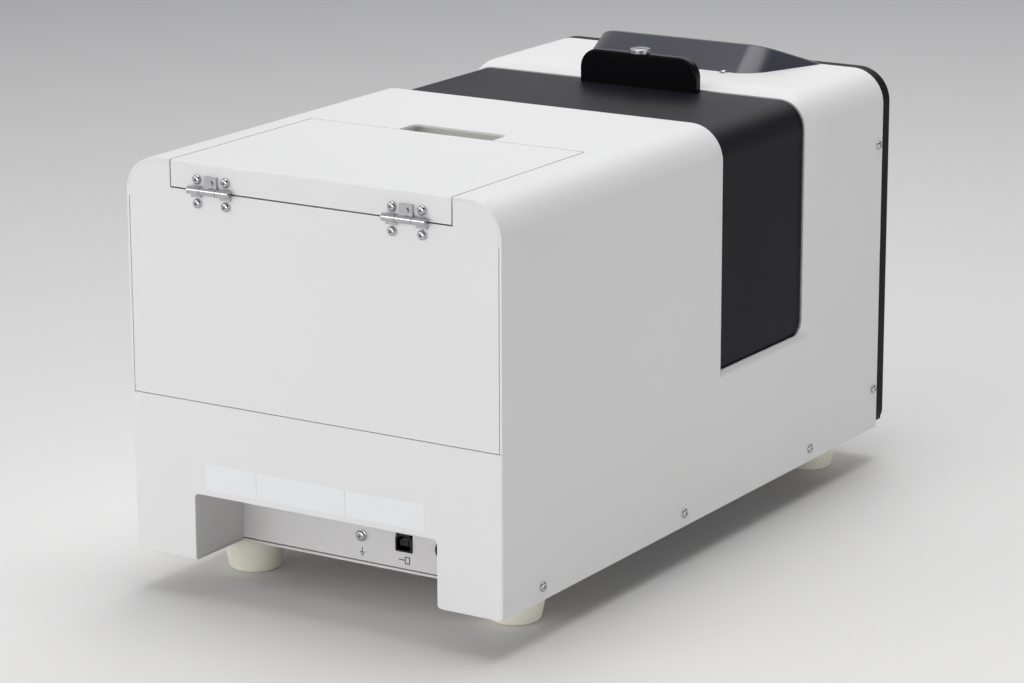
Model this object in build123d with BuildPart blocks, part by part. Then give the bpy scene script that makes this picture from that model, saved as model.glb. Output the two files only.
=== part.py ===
from build123d import *
from math import acos, asin, degrees
import os

# A benchtop colorimeter. Its front faces -Y, +Z is up, and the origin is on the table,
# under the middle of everything that the instrument reaches.
# "depth" counts from the rear face towards the front, and "height" from the shell's lower
# edge upwards. depth_plane and height_plane turn them into sketching planes.

# ---------------------------------------------------------------- driving dimensions (mm)

# outer shell, one folded sheet
shell_width = 271.0
shell_height = 252.0
shell_length = 488.0
shell_corner = 23.0
sheet = 1.6
joint_gap = 0.5
seating_gap = 0.1

# chamber opening across the roof and down both sides
window_front_margin = 106.6
window_length = 119.4
window_sill_height = 90.0
window_corner = 10.0
lip_drop = 4.3
lip_front_width = 14.6
lip_slope_width = 6.0
lip_bend_radius = 22.0
lip_bend_facets = 3
lip_sill_width = 3.2
lip_corner = 15.0
lip_straight = 12.0

# rear panels and the cable bay
rear_seam = 102.0
panel_fold = 10.0
panel_corner = 2.5
seam_end_drop = 3.0
corner_round = 1.2
bay_side_margin = 46.0
bay_height = 42.7
bay_depth = 50.0
bay_corner = 3.0
bay_sheet = 1.2
bay_edge_gap = 0.8

# base plate, rails and feet
plate_inset = 8.0
rail_height = 20.0
rail_width = 15.0
rail_sheet = 1.6
rail_end_gap = 4.0
foot_height = 26.0
foot_top_radius = 19.0
foot_bottom_radius = 16.9
foot_round = 2.0
foot_inset = 37.7
foot_rear = 73.0
foot_front_margin = 30.0
foot_bore_radius = 6.0
foot_bore_depth = 14.0
foot_screw_play = 1.0
foot_screw_head = 3.6
foot_screw_shank = 2.5
foot_screw_grip = 5.0

# screws
pan_radius = 3.25
pan_height = 1.9
pan_shank = 1.7
button_radius = 3.1
button_height = 2.4
button_shank = 1.5
screw_clearance = 0.15
screw_dome = 0.75
side_screw_height = 9.0
side_screw_rear = 44.5
side_screw_front_margin = 100.0
front_screw_margin = 6.0
front_screw_rise = 28.3
front_screw_drop = 50.8

# storage lid in the roof
lid_side_margin = 34.2
lid_length = 148.0
lid_flange_height = 16.6
lid_gap = 0.9
lid_rib_height = 8.0
lid_rib_inset = 3.0
lid_rib_rear_gap = 6.0

# exposed lid hinges
hinge_offset = 70.75
barrel_radius = 2.5
barrel_gap = 0.4
knuckle_length = 9.4
centre_knuckle_length = 11.4
knuckle_gap = 0.3
pin_radius = 1.2
pin_clearance = 0.05
tongue_width = 9.2
tongue_height = 9.0
tongue_sheet = 1.8
body_tongue_width = 7.4
body_tongue_drop = 4.4
rivet_radius = 2.0
rivet_height = 0.8
rivet_rise = 5.0
hinge_screw_spread = 10.5
hinge_screw_rise = 6.3
hinge_screw_drop = 8.5

# accessory tray under the lid
tray_wall = 2.0
tray_rim = 1.4
tray_depth = 50.0
tray_ledge = 1.8
tray_lap = 8.0
tray_rib_height = 5.0
pocket_half_width = 35.0
pocket_length = 20.0
pocket_depth = 6.8
pocket_corner = 6.0
pocket_margin = 1.2
pocket_under_lid = 6.0

# accessories in the tray
tile_radius = 25.0
tile_thickness = 9.0
tile_case_radius = 30.0
tile_case_height = 16.0
tile_case_floor = 3.0
zero_box_radius = 29.0
zero_box_height = 34.0
zero_box_wall = 2.5
spare_apertures = (7.0, 4.0)
accessory_fit = 0.5
accessory_margin = 2.0

# sliding chamber cover
cover_inset = 4.8
cover_skin_wall = 2.0
cover_liner_wall = 1.5
cover_rear_lap = 5.0
cover_lip_gap = 2.0
cover_corner = 8.0
liner_front_lap = 10.6
liner_sill_lap = 10.0
cover_end_gap = 1.8
cover_headroom = 1.0

# pull tab and its lock knob
tab_offset = -9.5
tab_width = 90.0
tab_height = 22.8
tab_thickness = 6.6
tab_corner = 13.0
tab_edge = 1.0
tab_front_gap = 2.0
tab_screw_spread = 28.0
tab_screw_grip = 8.0
knob_radius = 6.8
knob_height = 3.0
knob_slot = 1.4
knob_slot_depth = 1.1
knob_shaft_radius = 2.0
knob_shaft_length = 15.0

# chassis inside the shell
frame_sheet = 2.0
frame_step_drop = 6.0
frame_front_drop = 14.0
frame_hole_radius = 24.0
frame_hole_parts = (0.3, 0.7)
chamber_floor_sheet = 2.0
bulkhead_sheet = 2.5
bulkhead_gap = 5.0
guide_height = 7.0
guide_fence = 5.0
guide_clearance = 0.2

# optics, all on one axis
axis_drop = 87.0
sphere_radius = 42.0
sphere_wall = 3.0
sphere_flange = 4.0
sphere_flange_sheet = 2.0
sphere_gap = 2.0
sphere_port_radius = 15.0
neck_wall = 3.0
chamber_port_radius = 12.0
chamber_port_flange = 24.0
chamber_port_sheet = 3.0
barrel_outer = 20.0
barrel_inner = 17.0
barrel_length = 38.0
lens_thickness = 8.0
lens_bulge = 3.0
lens_inset = 4.0
lamp_side_gap = 12.9
lamp_length = 42.0
lamp_height = 52.0
lamp_neck_radius = 8.0
flash_tube_radius = 3.0
spectrometer_width = 120.0
spectrometer_length = 118.0
spectrometer_height = 56.0
spectrometer_wall = 3.0
spectrometer_corner = 8.0
spectrometer_lid = 2.0
bench_sheet = 3.0

# electronics
board_sheet = 1.6
board_side_gap = 12.0
main_board_front_gap = 28.8
power_board_length = 112.0
board_standoff_inset = 24.0
board_standoff_radius = 2.4
chip_size = 14.0
chip_height = 2.4
chip_pitch = 35.0
chip_row_part = 0.6
capacitor_radius = 15.0
capacitor_height = 46.0
capacitor_pitch = 37.5
capacitor_row_part = 0.25

# connectors on the bay's panel
connector_height = 17.2
usb_offset = -32.4
usb_width = 12.0
usb_height = 11.0
usb_length = 16.0
usb_chamfer = 2.0
usb_wall = 1.0
usb_tongue_width = 6.0
usb_tongue_height = 3.6
earth_offset = -1.1
earth_radius = 3.4
inlet_end_gap = 27.5
inlet_radius = 5.4
inlet_length = 14.0
switch_end_gap = 11.5
switch_width = 13.0
switch_height = 19.0
switch_length = 14.0
switch_bezel = 1.2
rocker_width = 9.6
rocker_radius = 7.6
rocker_axis_depth = 2.0
rocker_clearance = 0.3
rocker_throw = 16.0

# front panel
panel_depth = 13.0
panel_wall = 3.0
panel_edge = 5.0
panel_bottom_corner = 10.0
spigot_length = 13.0
spigot_wall = 2.0
status_side_margin = 43.5
status_drop = 38.0
status_radius = 3.0

# viewer hood on the roof
hood_rear_margin = 61.0
hood_crest_margin = 39.0
hood_overhang = 1.5
hood_height = 16.8
hood_rear_half_width = 64.6
hood_front_half_width = 88.7
hood_side_slope = 30.7
hood_round = 13.0
hood_crest_round = 4.0
hood_screw_offset = 46.3
hood_screw_radius = 2.7
hood_screw_height = 2.0
hood_screw_gap = 0.8

# measuring port
port_ring_radius = 42.0
port_flange_radius = 46.0
port_flange_height = 3.6
mask_radius = 33.0
mask_clearance = 0.3
mask_thickness = 10.2
mask_proud = 1.6
mask_aperture = 14.0
mask_land = 3.0
mask_throat = 20.0
mask_notch = 4.0
seat_thickness = 6.0
seat_gap = 0.2

# sample holder
pivot_height = 71.0
pivot_offset = 13.0
pivot_radius = 3.0
pin_head_radius = 3.8
bracket_half_width = 24.0
bracket_height = 44.0
bracket_sheet = 3.2
ear_width = 4.0
ear_gap = 0.5
hub_radius = 7.0
arm_half_width = 17.5
arm_waist = 11.0
arm_thickness = 6.0
arm_offset = 22.0
arm_toe = 4.2
arm_crank_low = 21.0
arm_crank_high = 24.5
head_radius = 21.0
boss_radius = 11.0
boss_length = 12.0
plunger_radius = 5.0
plunger_clearance = 0.06
pad_plate_radius = 24.0
pad_plate_thickness = 2.4
pad_thickness = 2.4
pad_gap = 0.4
pad_travel = 8.0
plunger_knob_radius = 8.0
plunger_knob_length = 8.0

# ---------------------------------------------------------------- derived places

half_width = shell_width / 2
frame_half_width = half_width - shell_corner - joint_gap
barrel_depth = -(barrel_radius + barrel_gap)
lid_half_width = half_width - lid_side_margin
bay_half_width = half_width - bay_side_margin
inlet_offset = inlet_end_gap - bay_half_width
switch_offset = switch_end_gap - bay_half_width
lid_flange_bottom = shell_height - lid_flange_height
axis_height = shell_height - axis_drop
barrel_height = lid_flange_bottom + seating_gap
window_front = shell_length - window_front_margin
window_rear = window_front - window_length
tray_front = lid_length - tray_lap
pocket_front = lid_length + pocket_length
side_screw_front = shell_length - side_screw_front_margin
side_screw_depths = (side_screw_rear, (side_screw_rear + side_screw_front) / 2, side_screw_front)
front_screw_depth = shell_length - front_screw_margin
front_screw_heights = (front_screw_rise, shell_height - front_screw_drop)
hood_rear = shell_length - hood_rear_margin
front_face = shell_length + joint_gap + panel_depth
mask_face = front_face + port_flange_height + mask_proud
pad_face = mask_face + pad_gap
arm_depth = front_face + arm_offset
plunger_end = arm_depth + arm_thickness + boss_length + pad_travel / 2
knob_end = plunger_end + plunger_knob_length
rear_reach = barrel_radius - barrel_depth
rear_y = (knob_end - rear_reach) / 2


def y_at(depth):
    """Y of a place this far in front of the rear face."""
    return rear_y - depth


def z_at(height):
    """Z of a place this far above the shell's lower edge."""
    return foot_height + height


def depth_plane(depth):
    """Upright plane facing the front; sketches on it read X and Z."""
    return Plane.XZ.offset(-y_at(depth))


def height_plane(height):
    """Level plane facing up; sketches on it read X and Y."""
    return Plane.XY.offset(z_at(height))


def arch(inset, sill):
    """The shell's section, set in all round by inset, down to the height sill."""
    with BuildSketch(mode=Mode.PRIVATE) as outline:
        with Locations((0, z_at(sill))):
            Rectangle(
                2 * (half_width - inset), shell_height - inset - sill, align=(Align.CENTER, Align.MIN)
            )
        fillet(outline.vertices().group_by(Axis.Y)[-1], shell_corner - inset)
    return outline.sketch


def side_view(rear, front, bottom, top, corner):
    """A rectangle seen from the side, with its lower front corner rounded."""
    with BuildSketch(mode=Mode.PRIVATE) as outline:
        with Locations((y_at(front), z_at(bottom))):
            Rectangle(front - rear, top - bottom, align=Align.MIN)
        fillet(outline.vertices().group_by(Axis.Y)[0].sort_by(Axis.X)[0], corner)
    return outline.sketch


def slab(x_low, x_high, depth_low, depth_high, height_low, height_high, mode=Mode.ADD):
    """A plain block between two X values, two depths and two heights."""
    with Locations((x_low, y_at(depth_high), z_at(height_low))):
        Box(
            x_high - x_low, depth_high - depth_low, height_high - height_low, align=Align.MIN, mode=mode
        )


def domed_screw(radius, height, shank_radius, shank_length):
    """A screw along +Z with the underside of its domed head at the origin."""
    with BuildPart() as screw:
        Cylinder(radius, height, align=(Align.CENTER, Align.CENTER, Align.MIN))
        fillet(screw.edges().group_by(Axis.Z)[-1], height * screw_dome)
        Cylinder(shank_radius, shank_length, align=(Align.CENTER, Align.CENTER, Align.MAX))
    return screw.part


def hinge_screw_spots(height):
    """Places on the rear face of one row of hinge screws."""
    return [
        (hinge * hinge_offset + side * hinge_screw_spread, y_at(0), z_at(height))
        for hinge in (-1, 1) for side in (-1, 1)
    ]


hood_screw_depth = hood_rear - hood_screw_radius - hood_screw_gap
hood_screw_spots = [
    (side * hood_screw_offset, y_at(hood_screw_depth), z_at(shell_height)) for side in (-1, 1)
]


def save(builder, name):
    """Labels a finished piece and writes its STEP file."""
    builder.part.label = name
    export_step(builder.part, f"parts/{name}.step")


os.makedirs("parts", exist_ok=True)

# ---------------------------------------------------------------- outer shell

lip_front = window_front + lip_front_width
lip_sill = window_sill_height - lip_sill_width
lip_split = shell_height - shell_corner - lip_straight
lip_top = shell_height + lip_drop

# contours of the opening's formed edge, from the flat sheet through a bend and down a slope:
# (distance in front of the opening, drop below the sheet's outside)
bend_width = lip_front_width - lip_slope_width
lip_contours = [(lip_front_width, 0)]
for facet in range(1, lip_bend_facets + 1):
    run = bend_width * facet / lip_bend_facets
    fall = lip_bend_radius - (lip_bend_radius**2 - run**2) ** 0.5
    lip_contours.append((lip_front_width - run, fall))
lip_contours.append((0, lip_drop))
lip_bands = list(zip(lip_contours, lip_contours[1:]))


def lip_view(width):
    """Side view of the contour that lies this far in front of the opening."""
    share = width / lip_front_width
    return side_view(
        window_rear, window_front + width, window_sill_height - share * lip_sill_width, lip_split,
        window_corner + share * (lip_corner - window_corner),
    )


# formed edge of the opening in one side wall
with BuildPart() as side_lip:
    for depth, mode in ((sheet, Mode.ADD), (0, Mode.SUBTRACT)):
        for band in lip_bands:
            for width, drop in band:
                with BuildSketch(Plane.YZ.offset(half_width - depth - drop)):
                    add(lip_view(width))
            loft(ruled=True, mode=mode)
        if depth:
            with BuildSketch(Plane.YZ.offset(half_width - sheet)):
                add(lip_view(lip_front_width))
            extrude(amount=sheet)
    with BuildSketch(Plane.YZ):
        add(lip_view(0))
    extrude(amount=half_width, mode=Mode.SUBTRACT)

with BuildPart() as outer_shell:
    with BuildSketch(depth_plane(0)):
        add(arch(0, 0))
        add(arch(sheet, -sheet), mode=Mode.SUBTRACT)
    extrude(amount=shell_length)
    # the chamber opening, as far as its formed edge reaches
    with BuildSketch(Plane.YZ):
        add(side_view(window_rear, lip_front, lip_sill, lip_top, lip_corner))
    extrude(amount=half_width, both=True, mode=Mode.SUBTRACT)
    # formed edge over the roof and its corners
    for band in lip_bands:
        for width, drop in band:
            with BuildSketch(depth_plane(window_front + width)):
                add(arch(drop, lip_split))
                add(arch(drop + sheet, lip_split - sheet), mode=Mode.SUBTRACT)
        loft(ruled=True)
    add(side_lip.part)
    mirror(side_lip.part, about=Plane.YZ)
    # room for the lid and for a finger in front of it
    slab(
        -lid_half_width - lid_gap, lid_half_width + lid_gap, -sheet, lid_length + lid_gap,
        shell_height - shell_corner / 2, shell_height + sheet, mode=Mode.SUBTRACT,
    )
    with BuildSketch(height_plane(shell_height + sheet)) as finger_hole:
        with Locations((0, y_at(pocket_front))):
            Rectangle(2 * pocket_half_width, pocket_front - lid_length, align=(Align.CENTER, Align.MIN))
        fillet(finger_hole.vertices().group_by(Axis.Y)[0], pocket_corner)
    extrude(amount=-4 * sheet, mode=Mode.SUBTRACT)
    # the lower rear panel wraps over the ends of the side walls
    slab(
        -half_width, half_width, -sheet, sheet + joint_gap / 5, -sheet, rear_seam,
        mode=Mode.SUBTRACT,
    )
    # screw holes
    with Locations(*[(0, y_at(d), z_at(side_screw_height)) for d in side_screw_depths]):
        Cylinder(pan_shank + screw_clearance, 2 * shell_width, rotation=(0, 90, 0), mode=Mode.SUBTRACT)
    with Locations(*[(0, y_at(front_screw_depth), z_at(h)) for h in front_screw_heights]):
        Cylinder(pan_shank + screw_clearance, 2 * shell_width, rotation=(0, 90, 0), mode=Mode.SUBTRACT)
    with Locations(*hood_screw_spots):
        Cylinder(button_shank + screw_clearance, 4 * sheet, mode=Mode.SUBTRACT)
save(outer_shell, "outer_shell")

# ---------------------------------------------------------------- rear panels and cable bay

# upper panel: a shallow tray inside the shell's end, notched for the lid's flange
panel_inset = sheet + joint_gap
seam_end = shell_height - shell_corner - seam_end_drop
with BuildPart() as upper_rear_panel:
    with BuildSketch(depth_plane(0)):
        add(arch(panel_inset, rear_seam + joint_gap / 2))
        add(arch(sheet + seating_gap, seam_end))
    extrude(amount=panel_fold)
    with BuildSketch(depth_plane(sheet)):
        add(arch(panel_inset + sheet, rear_seam + joint_gap / 2 + sheet))
    extrude(amount=panel_fold, mode=Mode.SUBTRACT)
    slab(
        -lid_half_width - lid_gap, lid_half_width + lid_gap, -sheet, panel_fold + sheet,
        lid_flange_bottom - lid_gap, shell_height, mode=Mode.SUBTRACT,
    )
    with Locations(*hinge_screw_spots(barrel_height - hinge_screw_drop)):
        Cylinder(button_shank + screw_clearance, 4 * sheet, rotation=(90, 0, 0), mode=Mode.SUBTRACT)
save(upper_rear_panel, "upper_rear_panel")

# lower panel: as wide as the shell, with the notch that opens the cable bay
with BuildPart() as lower_rear_panel:
    slab(-half_width, half_width, 0, sheet, 0, rear_seam - joint_gap / 2)
    upright = lower_rear_panel.edges().filter_by(Axis.Z).group_by(Axis.Y)[-1]
    fillet(upright, corner_round)
    for side in (-1, 1):
        slab(
            *sorted((side * (half_width - panel_inset), side * (half_width - panel_inset - sheet))),
            sheet / 2, panel_fold, 0, rear_seam - joint_gap / 2,
        )
    with BuildSketch(depth_plane(-sheet)) as notch:
        with Locations((0, z_at(-bay_corner))):
            Rectangle(2 * bay_half_width, bay_height + bay_corner, align=(Align.CENTER, Align.MIN))
        fillet(notch.vertices().group_by(Axis.Y)[-1], bay_corner)
    extrude(amount=panel_fold, mode=Mode.SUBTRACT)
    # what is taken off the four lower corners
    with BuildSketch(depth_plane(-sheet)):
        for corner, inward in (
            (-half_width, 1), (-bay_half_width, -1), (bay_half_width, 1), (half_width, -1),
        ):
            with Locations((corner + inward * panel_corner / 2, z_at(panel_corner / 2))):
                Rectangle(panel_corner, panel_corner)
            with Locations((corner + inward * panel_corner, z_at(panel_corner))):
                Circle(panel_corner, mode=Mode.SUBTRACT)
    extrude(amount=panel_fold + 2 * sheet, mode=Mode.SUBTRACT)
save(lower_rear_panel, "lower_rear_panel")

# connector panel: the folded box behind the notch, with the sockets in its far wall
bay_front = bay_depth + bay_sheet
with BuildPart() as connector_panel:
    with BuildSketch(depth_plane(sheet)) as bay_outside:
        with Locations((0, z_at(bay_edge_gap))):
            Rectangle(
                2 * (bay_half_width + bay_sheet), bay_height + bay_sheet - bay_edge_gap,
                align=(Align.CENTER, Align.MIN),
            )
        fillet(bay_outside.vertices().group_by(Axis.Y)[-1], bay_corner + bay_sheet)
    extrude(amount=bay_front - sheet)
    with BuildSketch(depth_plane(sheet)) as bay_inside:
        with Locations((0, z_at(-bay_corner))):
            Rectangle(2 * bay_half_width, bay_height + bay_corner, align=(Align.CENTER, Align.MIN))
        fillet(bay_inside.vertices().group_by(Axis.Y)[-1], bay_corner)
    extrude(amount=bay_depth - sheet, mode=Mode.SUBTRACT)
    with BuildSketch(depth_plane(bay_depth - sheet)):
        with Locations((usb_offset, z_at(connector_height))):
            Rectangle(usb_width + joint_gap, usb_height + joint_gap)
        with Locations((earth_offset, z_at(connector_height))):
            Circle(earth_radius / 2 + screw_clearance)
        with Locations((inlet_offset, z_at(connector_height))):
            Circle(inlet_radius + screw_clearance)
        with Locations((switch_offset, z_at(connector_height))):
            Rectangle(switch_width + joint_gap, switch_height + joint_gap)
    extrude(amount=3 * sheet, mode=Mode.SUBTRACT)
save(connector_panel, "connector_panel")

# USB socket with its tongue
usb_base = connector_height - usb_height / 2
with BuildPart() as usb_socket:
    with BuildSketch(depth_plane(bay_depth - usb_wall)) as socket:
        with Locations((usb_offset, z_at(connector_height))):
            Rectangle(usb_width, usb_height)
        chamfer(socket.vertices().group_by(Axis.Y)[-1], usb_chamfer)
    extrude(amount=usb_length)
    with BuildSketch(depth_plane(bay_depth - usb_wall)) as mouth:
        with Locations((usb_offset, z_at(connector_height))):
            Rectangle(usb_width - 2 * usb_wall, usb_height - 2 * usb_wall)
        chamfer(mouth.vertices().group_by(Axis.Y)[-1], usb_chamfer)
    extrude(amount=usb_length - usb_wall, mode=Mode.SUBTRACT)
    slab(
        usb_offset - usb_tongue_width / 2, usb_offset + usb_tongue_width / 2, bay_depth,
        bay_depth + usb_length - 2 * usb_wall, connector_height - usb_tongue_height / 2,
        connector_height + usb_tongue_height / 2,
    )
save(usb_socket, "usb_socket")

# earth terminal: screw with its washer
earth_screw = domed_screw(earth_radius, pan_height, earth_radius / 2, 3 * bay_sheet)
earth_spot = (earth_offset, y_at(bay_depth - bay_sheet), z_at(connector_height))
with BuildPart() as earth_terminal:
    with Locations(Plane(earth_spot, x_dir=(1, 0, 0), z_dir=(0, 1, 0))):
        add(earth_screw)
    with BuildSketch(depth_plane(bay_depth - bay_sheet)):
        with Locations((earth_offset, z_at(connector_height))):
            Circle(earth_radius + 2 * screw_clearance)
            Circle(earth_radius / 2, mode=Mode.SUBTRACT)
    extrude(amount=bay_sheet)
save(earth_terminal, "earth_terminal")

# low-voltage inlet
with BuildPart() as power_inlet:
    with BuildSketch(depth_plane(bay_depth - usb_wall)):
        with Locations((inlet_offset, z_at(connector_height))):
            Circle(inlet_radius + usb_wall)
    extrude(amount=usb_wall)
    with BuildSketch(depth_plane(bay_depth)):
        with Locations((inlet_offset, z_at(connector_height))):
            Circle(inlet_radius)
    extrude(amount=inlet_length)
    with BuildSketch(depth_plane(bay_depth - usb_wall)):
        with Locations((inlet_offset, z_at(connector_height))):
            Circle(inlet_radius - usb_wall)
            Circle(usb_wall, mode=Mode.SUBTRACT)
    extrude(amount=inlet_length - usb_wall, mode=Mode.SUBTRACT)
save(power_inlet, "power_inlet")

# power switch: its body has a round bed in which the rocker turns
rocker_axis = (switch_offset, y_at(bay_depth + rocker_axis_depth), z_at(connector_height))
with BuildPart() as switch_body:
    with BuildSketch(depth_plane(bay_depth - switch_bezel)):
        with Locations((switch_offset, z_at(connector_height))):
            RectangleRounded(
                switch_width + 2 * switch_bezel, switch_height + 2 * switch_bezel, switch_bezel
            )
    extrude(amount=switch_bezel)
    slab(
        switch_offset - switch_width / 2, switch_offset + switch_width / 2, bay_depth,
        bay_depth + switch_length, connector_height - switch_height / 2,
        connector_height + switch_height / 2,
    )
    with Locations(rocker_axis):
        Cylinder(
            rocker_radius + rocker_clearance, rocker_width + 2 * rocker_clearance,
            rotation=(0, 90, 0), mode=Mode.SUBTRACT,
        )
save(switch_body, "switch_body")

with BuildPart() as power_rocker:
    with Locations(rocker_axis):
        Cylinder(rocker_radius, rocker_width, rotation=(0, 90, 0))
    for tilt in (0, rocker_throw):
        face = Plane(rocker_axis, x_dir=(1, 0, 0), z_dir=(0, 1, 0)).rotated((tilt, 0, 0))
        split(bisect_by=face.offset(rocker_axis_depth), keep=Keep.BOTTOM)
save(power_rocker, "power_rocker")

# ---------------------------------------------------------------- base plate, rails, feet

foot_places = [
    (side * (half_width - foot_inset), y_at(depth), 0)
    for side in (-1, 1) for depth in (foot_rear, shell_length - foot_front_margin)
]
plate_half_width = half_width - plate_inset
plate_front = shell_length - joint_gap - sheet
with BuildPart() as base_plate:
    slab(-plate_half_width, plate_half_width, 2 * sheet, plate_front, -sheet, 0)
    slab(
        -bay_half_width - bay_sheet, bay_half_width + bay_sheet, 0, bay_depth, -2 * sheet, sheet,
        mode=Mode.SUBTRACT,
    )
    with Locations(*foot_places):
        Cylinder(foot_screw_shank + screw_clearance, 3 * foot_height, mode=Mode.SUBTRACT)
save(base_plate, "base_plate")

foot_thickness = foot_height - sheet
with BuildPart() as feet:
    with Locations(*foot_places):
        Cone(
            foot_bottom_radius, foot_top_radius, foot_thickness,
            align=(Align.CENTER, Align.CENTER, Align.MIN),
        )
    fillet(feet.edges().group_by(Axis.Z)[0], foot_round)
    with Locations(*foot_places):
        Cylinder(
            foot_bore_radius, foot_bore_depth, align=(Align.CENTER, Align.CENTER, Align.MIN),
            mode=Mode.SUBTRACT,
        )
        Cylinder(foot_screw_shank + screw_clearance, 3 * foot_height, mode=Mode.SUBTRACT)
save(feet, "feet")

# screws that hold the feet, pointing up from their counterbores
foot_screw = domed_screw(
    foot_bore_radius - foot_screw_play, foot_screw_head, foot_screw_shank,
    foot_thickness - foot_bore_depth + foot_screw_grip,
)
with BuildPart() as foot_screws:
    for x, y, z in foot_places:
        with Locations(Plane((x, y, foot_bore_depth), x_dir=(1, 0, 0), z_dir=(0, 0, -1))):
            add(foot_screw)
save(foot_screws, "foot_screws")

rail_rear = panel_fold + rail_end_gap
rail_front = shell_length - spigot_length - rail_end_gap / 2
with BuildPart() as base_rails:
    outer = half_width - sheet - joint_gap / 2
    for side in (-1, 1):
        slab(
            *sorted((side * outer, side * (outer - rail_sheet))), rail_rear, rail_front, seating_gap,
            rail_height,
        )
        slab(
            *sorted((side * outer, side * (outer - rail_width))), rail_rear, rail_front, seating_gap,
            seating_gap + rail_sheet,
        )
    with Locations(*[(0, y_at(d), z_at(side_screw_height)) for d in side_screw_depths]):
        Cylinder(pan_shank + screw_clearance, 2 * shell_width, rotation=(0, 90, 0), mode=Mode.SUBTRACT)
save(base_rails, "base_rails")

# screws in both sides of the shell
pan_screw = domed_screw(pan_radius, pan_height, pan_shank, 2 * sheet + spigot_wall)
with BuildPart() as side_screws:
    places = [(depth, side_screw_height) for depth in side_screw_depths]
    places += [(front_screw_depth, height) for height in front_screw_heights]
    for side in (-1, 1):
        for depth, height in places:
            spot = (side * half_width, y_at(depth), z_at(height))
            with Locations(Plane(spot, x_dir=(0, 1, 0), z_dir=(side, 0, 0))):
                add(pan_screw)
save(side_screws, "side_screws")

# ---------------------------------------------------------------- storage lid and hinges

rim_top = shell_height - sheet - seating_gap
tray_half_width = lid_half_width - tray_ledge
tray_rear = panel_fold + 2 * sheet
with BuildPart() as lid_panel:
    slab(-lid_half_width, lid_half_width, 0, lid_length, shell_height - sheet, shell_height)
    slab(-lid_half_width, lid_half_width, 0, sheet, lid_flange_bottom, shell_height)
    fillet(lid_panel.edges().filter_by(Axis.X).group_by(Axis.Z)[-1].sort_by(Axis.Y)[-1], corner_round)
    for side in (-1, 1):
        rib = lid_half_width - lid_rib_inset
        slab(
            *sorted((side * rib, side * (rib - sheet))), tray_rear + lid_rib_rear_gap,
            tray_front - tray_wall - lid_gap, shell_height - sheet - lid_rib_height,
            shell_height - sheet,
        )
    with Locations(*hinge_screw_spots(barrel_height + hinge_screw_rise)):
        Cylinder(button_shank + screw_clearance, 4 * sheet, rotation=(90, 0, 0), mode=Mode.SUBTRACT)
save(lid_panel, "lid_panel")

# hinge halves: rolled knuckles with a tongue that lies on the sheet
knuckle_centre = (centre_knuckle_length + knuckle_length) / 2 + knuckle_gap
with BuildPart() as lid_hinge_leaves:
    for hinge in (-1, 1):
        middle = hinge * hinge_offset
        with Locations((middle, y_at(barrel_depth), z_at(barrel_height))):
            Cylinder(barrel_radius, centre_knuckle_length, rotation=(0, 90, 0))
        slab(
            middle - tongue_width / 2, middle + tongue_width / 2, -tongue_sheet, 0,
            barrel_height, barrel_height + tongue_height,
        )
        with BuildSketch(depth_plane(-tongue_sheet - rivet_height)):
            with Locations((middle, z_at(barrel_height + rivet_rise))):
                Circle(rivet_radius)
        extrude(amount=rivet_height)
        with Locations((middle, y_at(barrel_depth), z_at(barrel_height))):
            Cylinder(pin_radius, 2 * centre_knuckle_length, rotation=(0, 90, 0), mode=Mode.SUBTRACT)
save(lid_hinge_leaves, "lid_hinge_leaves")

with BuildPart() as hinge_pins:
    for hinge in (-1, 1):
        with Locations((hinge * hinge_offset, y_at(barrel_depth), z_at(barrel_height))):
            Cylinder(pin_radius, 2 * knuckle_centre + knuckle_length - knuckle_gap, rotation=(0, 90, 0))
save(hinge_pins, "hinge_pins")

with BuildPart() as body_hinge_leaves:
    for hinge in (-1, 1):
        for side in (-1, 1):
            middle = hinge * hinge_offset + side * knuckle_centre
            with Locations((middle, y_at(barrel_depth), z_at(barrel_height))):
                Cylinder(barrel_radius, knuckle_length, rotation=(0, 90, 0))
            slab(
                middle - body_tongue_width / 2, middle + body_tongue_width / 2, -tongue_sheet, 0,
                barrel_height - body_tongue_drop, barrel_height - lid_gap,
            )
            with Locations((middle, y_at(barrel_depth), z_at(barrel_height))):
                Cylinder(
                    pin_radius + pin_clearance, 2 * knuckle_length, rotation=(0, 90, 0), mode=Mode.SUBTRACT
                )
save(body_hinge_leaves, "body_hinge_leaves")

# button-head screws above and below each barrel
button_screw = domed_screw(button_radius, button_height, button_shank, 2 * sheet)


def hinge_screws(height):
    """Four screws in a row across both hinges, through the sheet of the rear face."""
    with BuildPart() as row:
        for spot in hinge_screw_spots(height):
            with Locations(Plane(spot, x_dir=(1, 0, 0), z_dir=(0, 1, 0))):
                add(button_screw)
    return row


save(hinge_screws(barrel_height + hinge_screw_rise), "lid_hinge_screws")
save(hinge_screws(barrel_height - hinge_screw_drop), "body_hinge_screws")

# ---------------------------------------------------------------- accessory tray and contents

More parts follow.
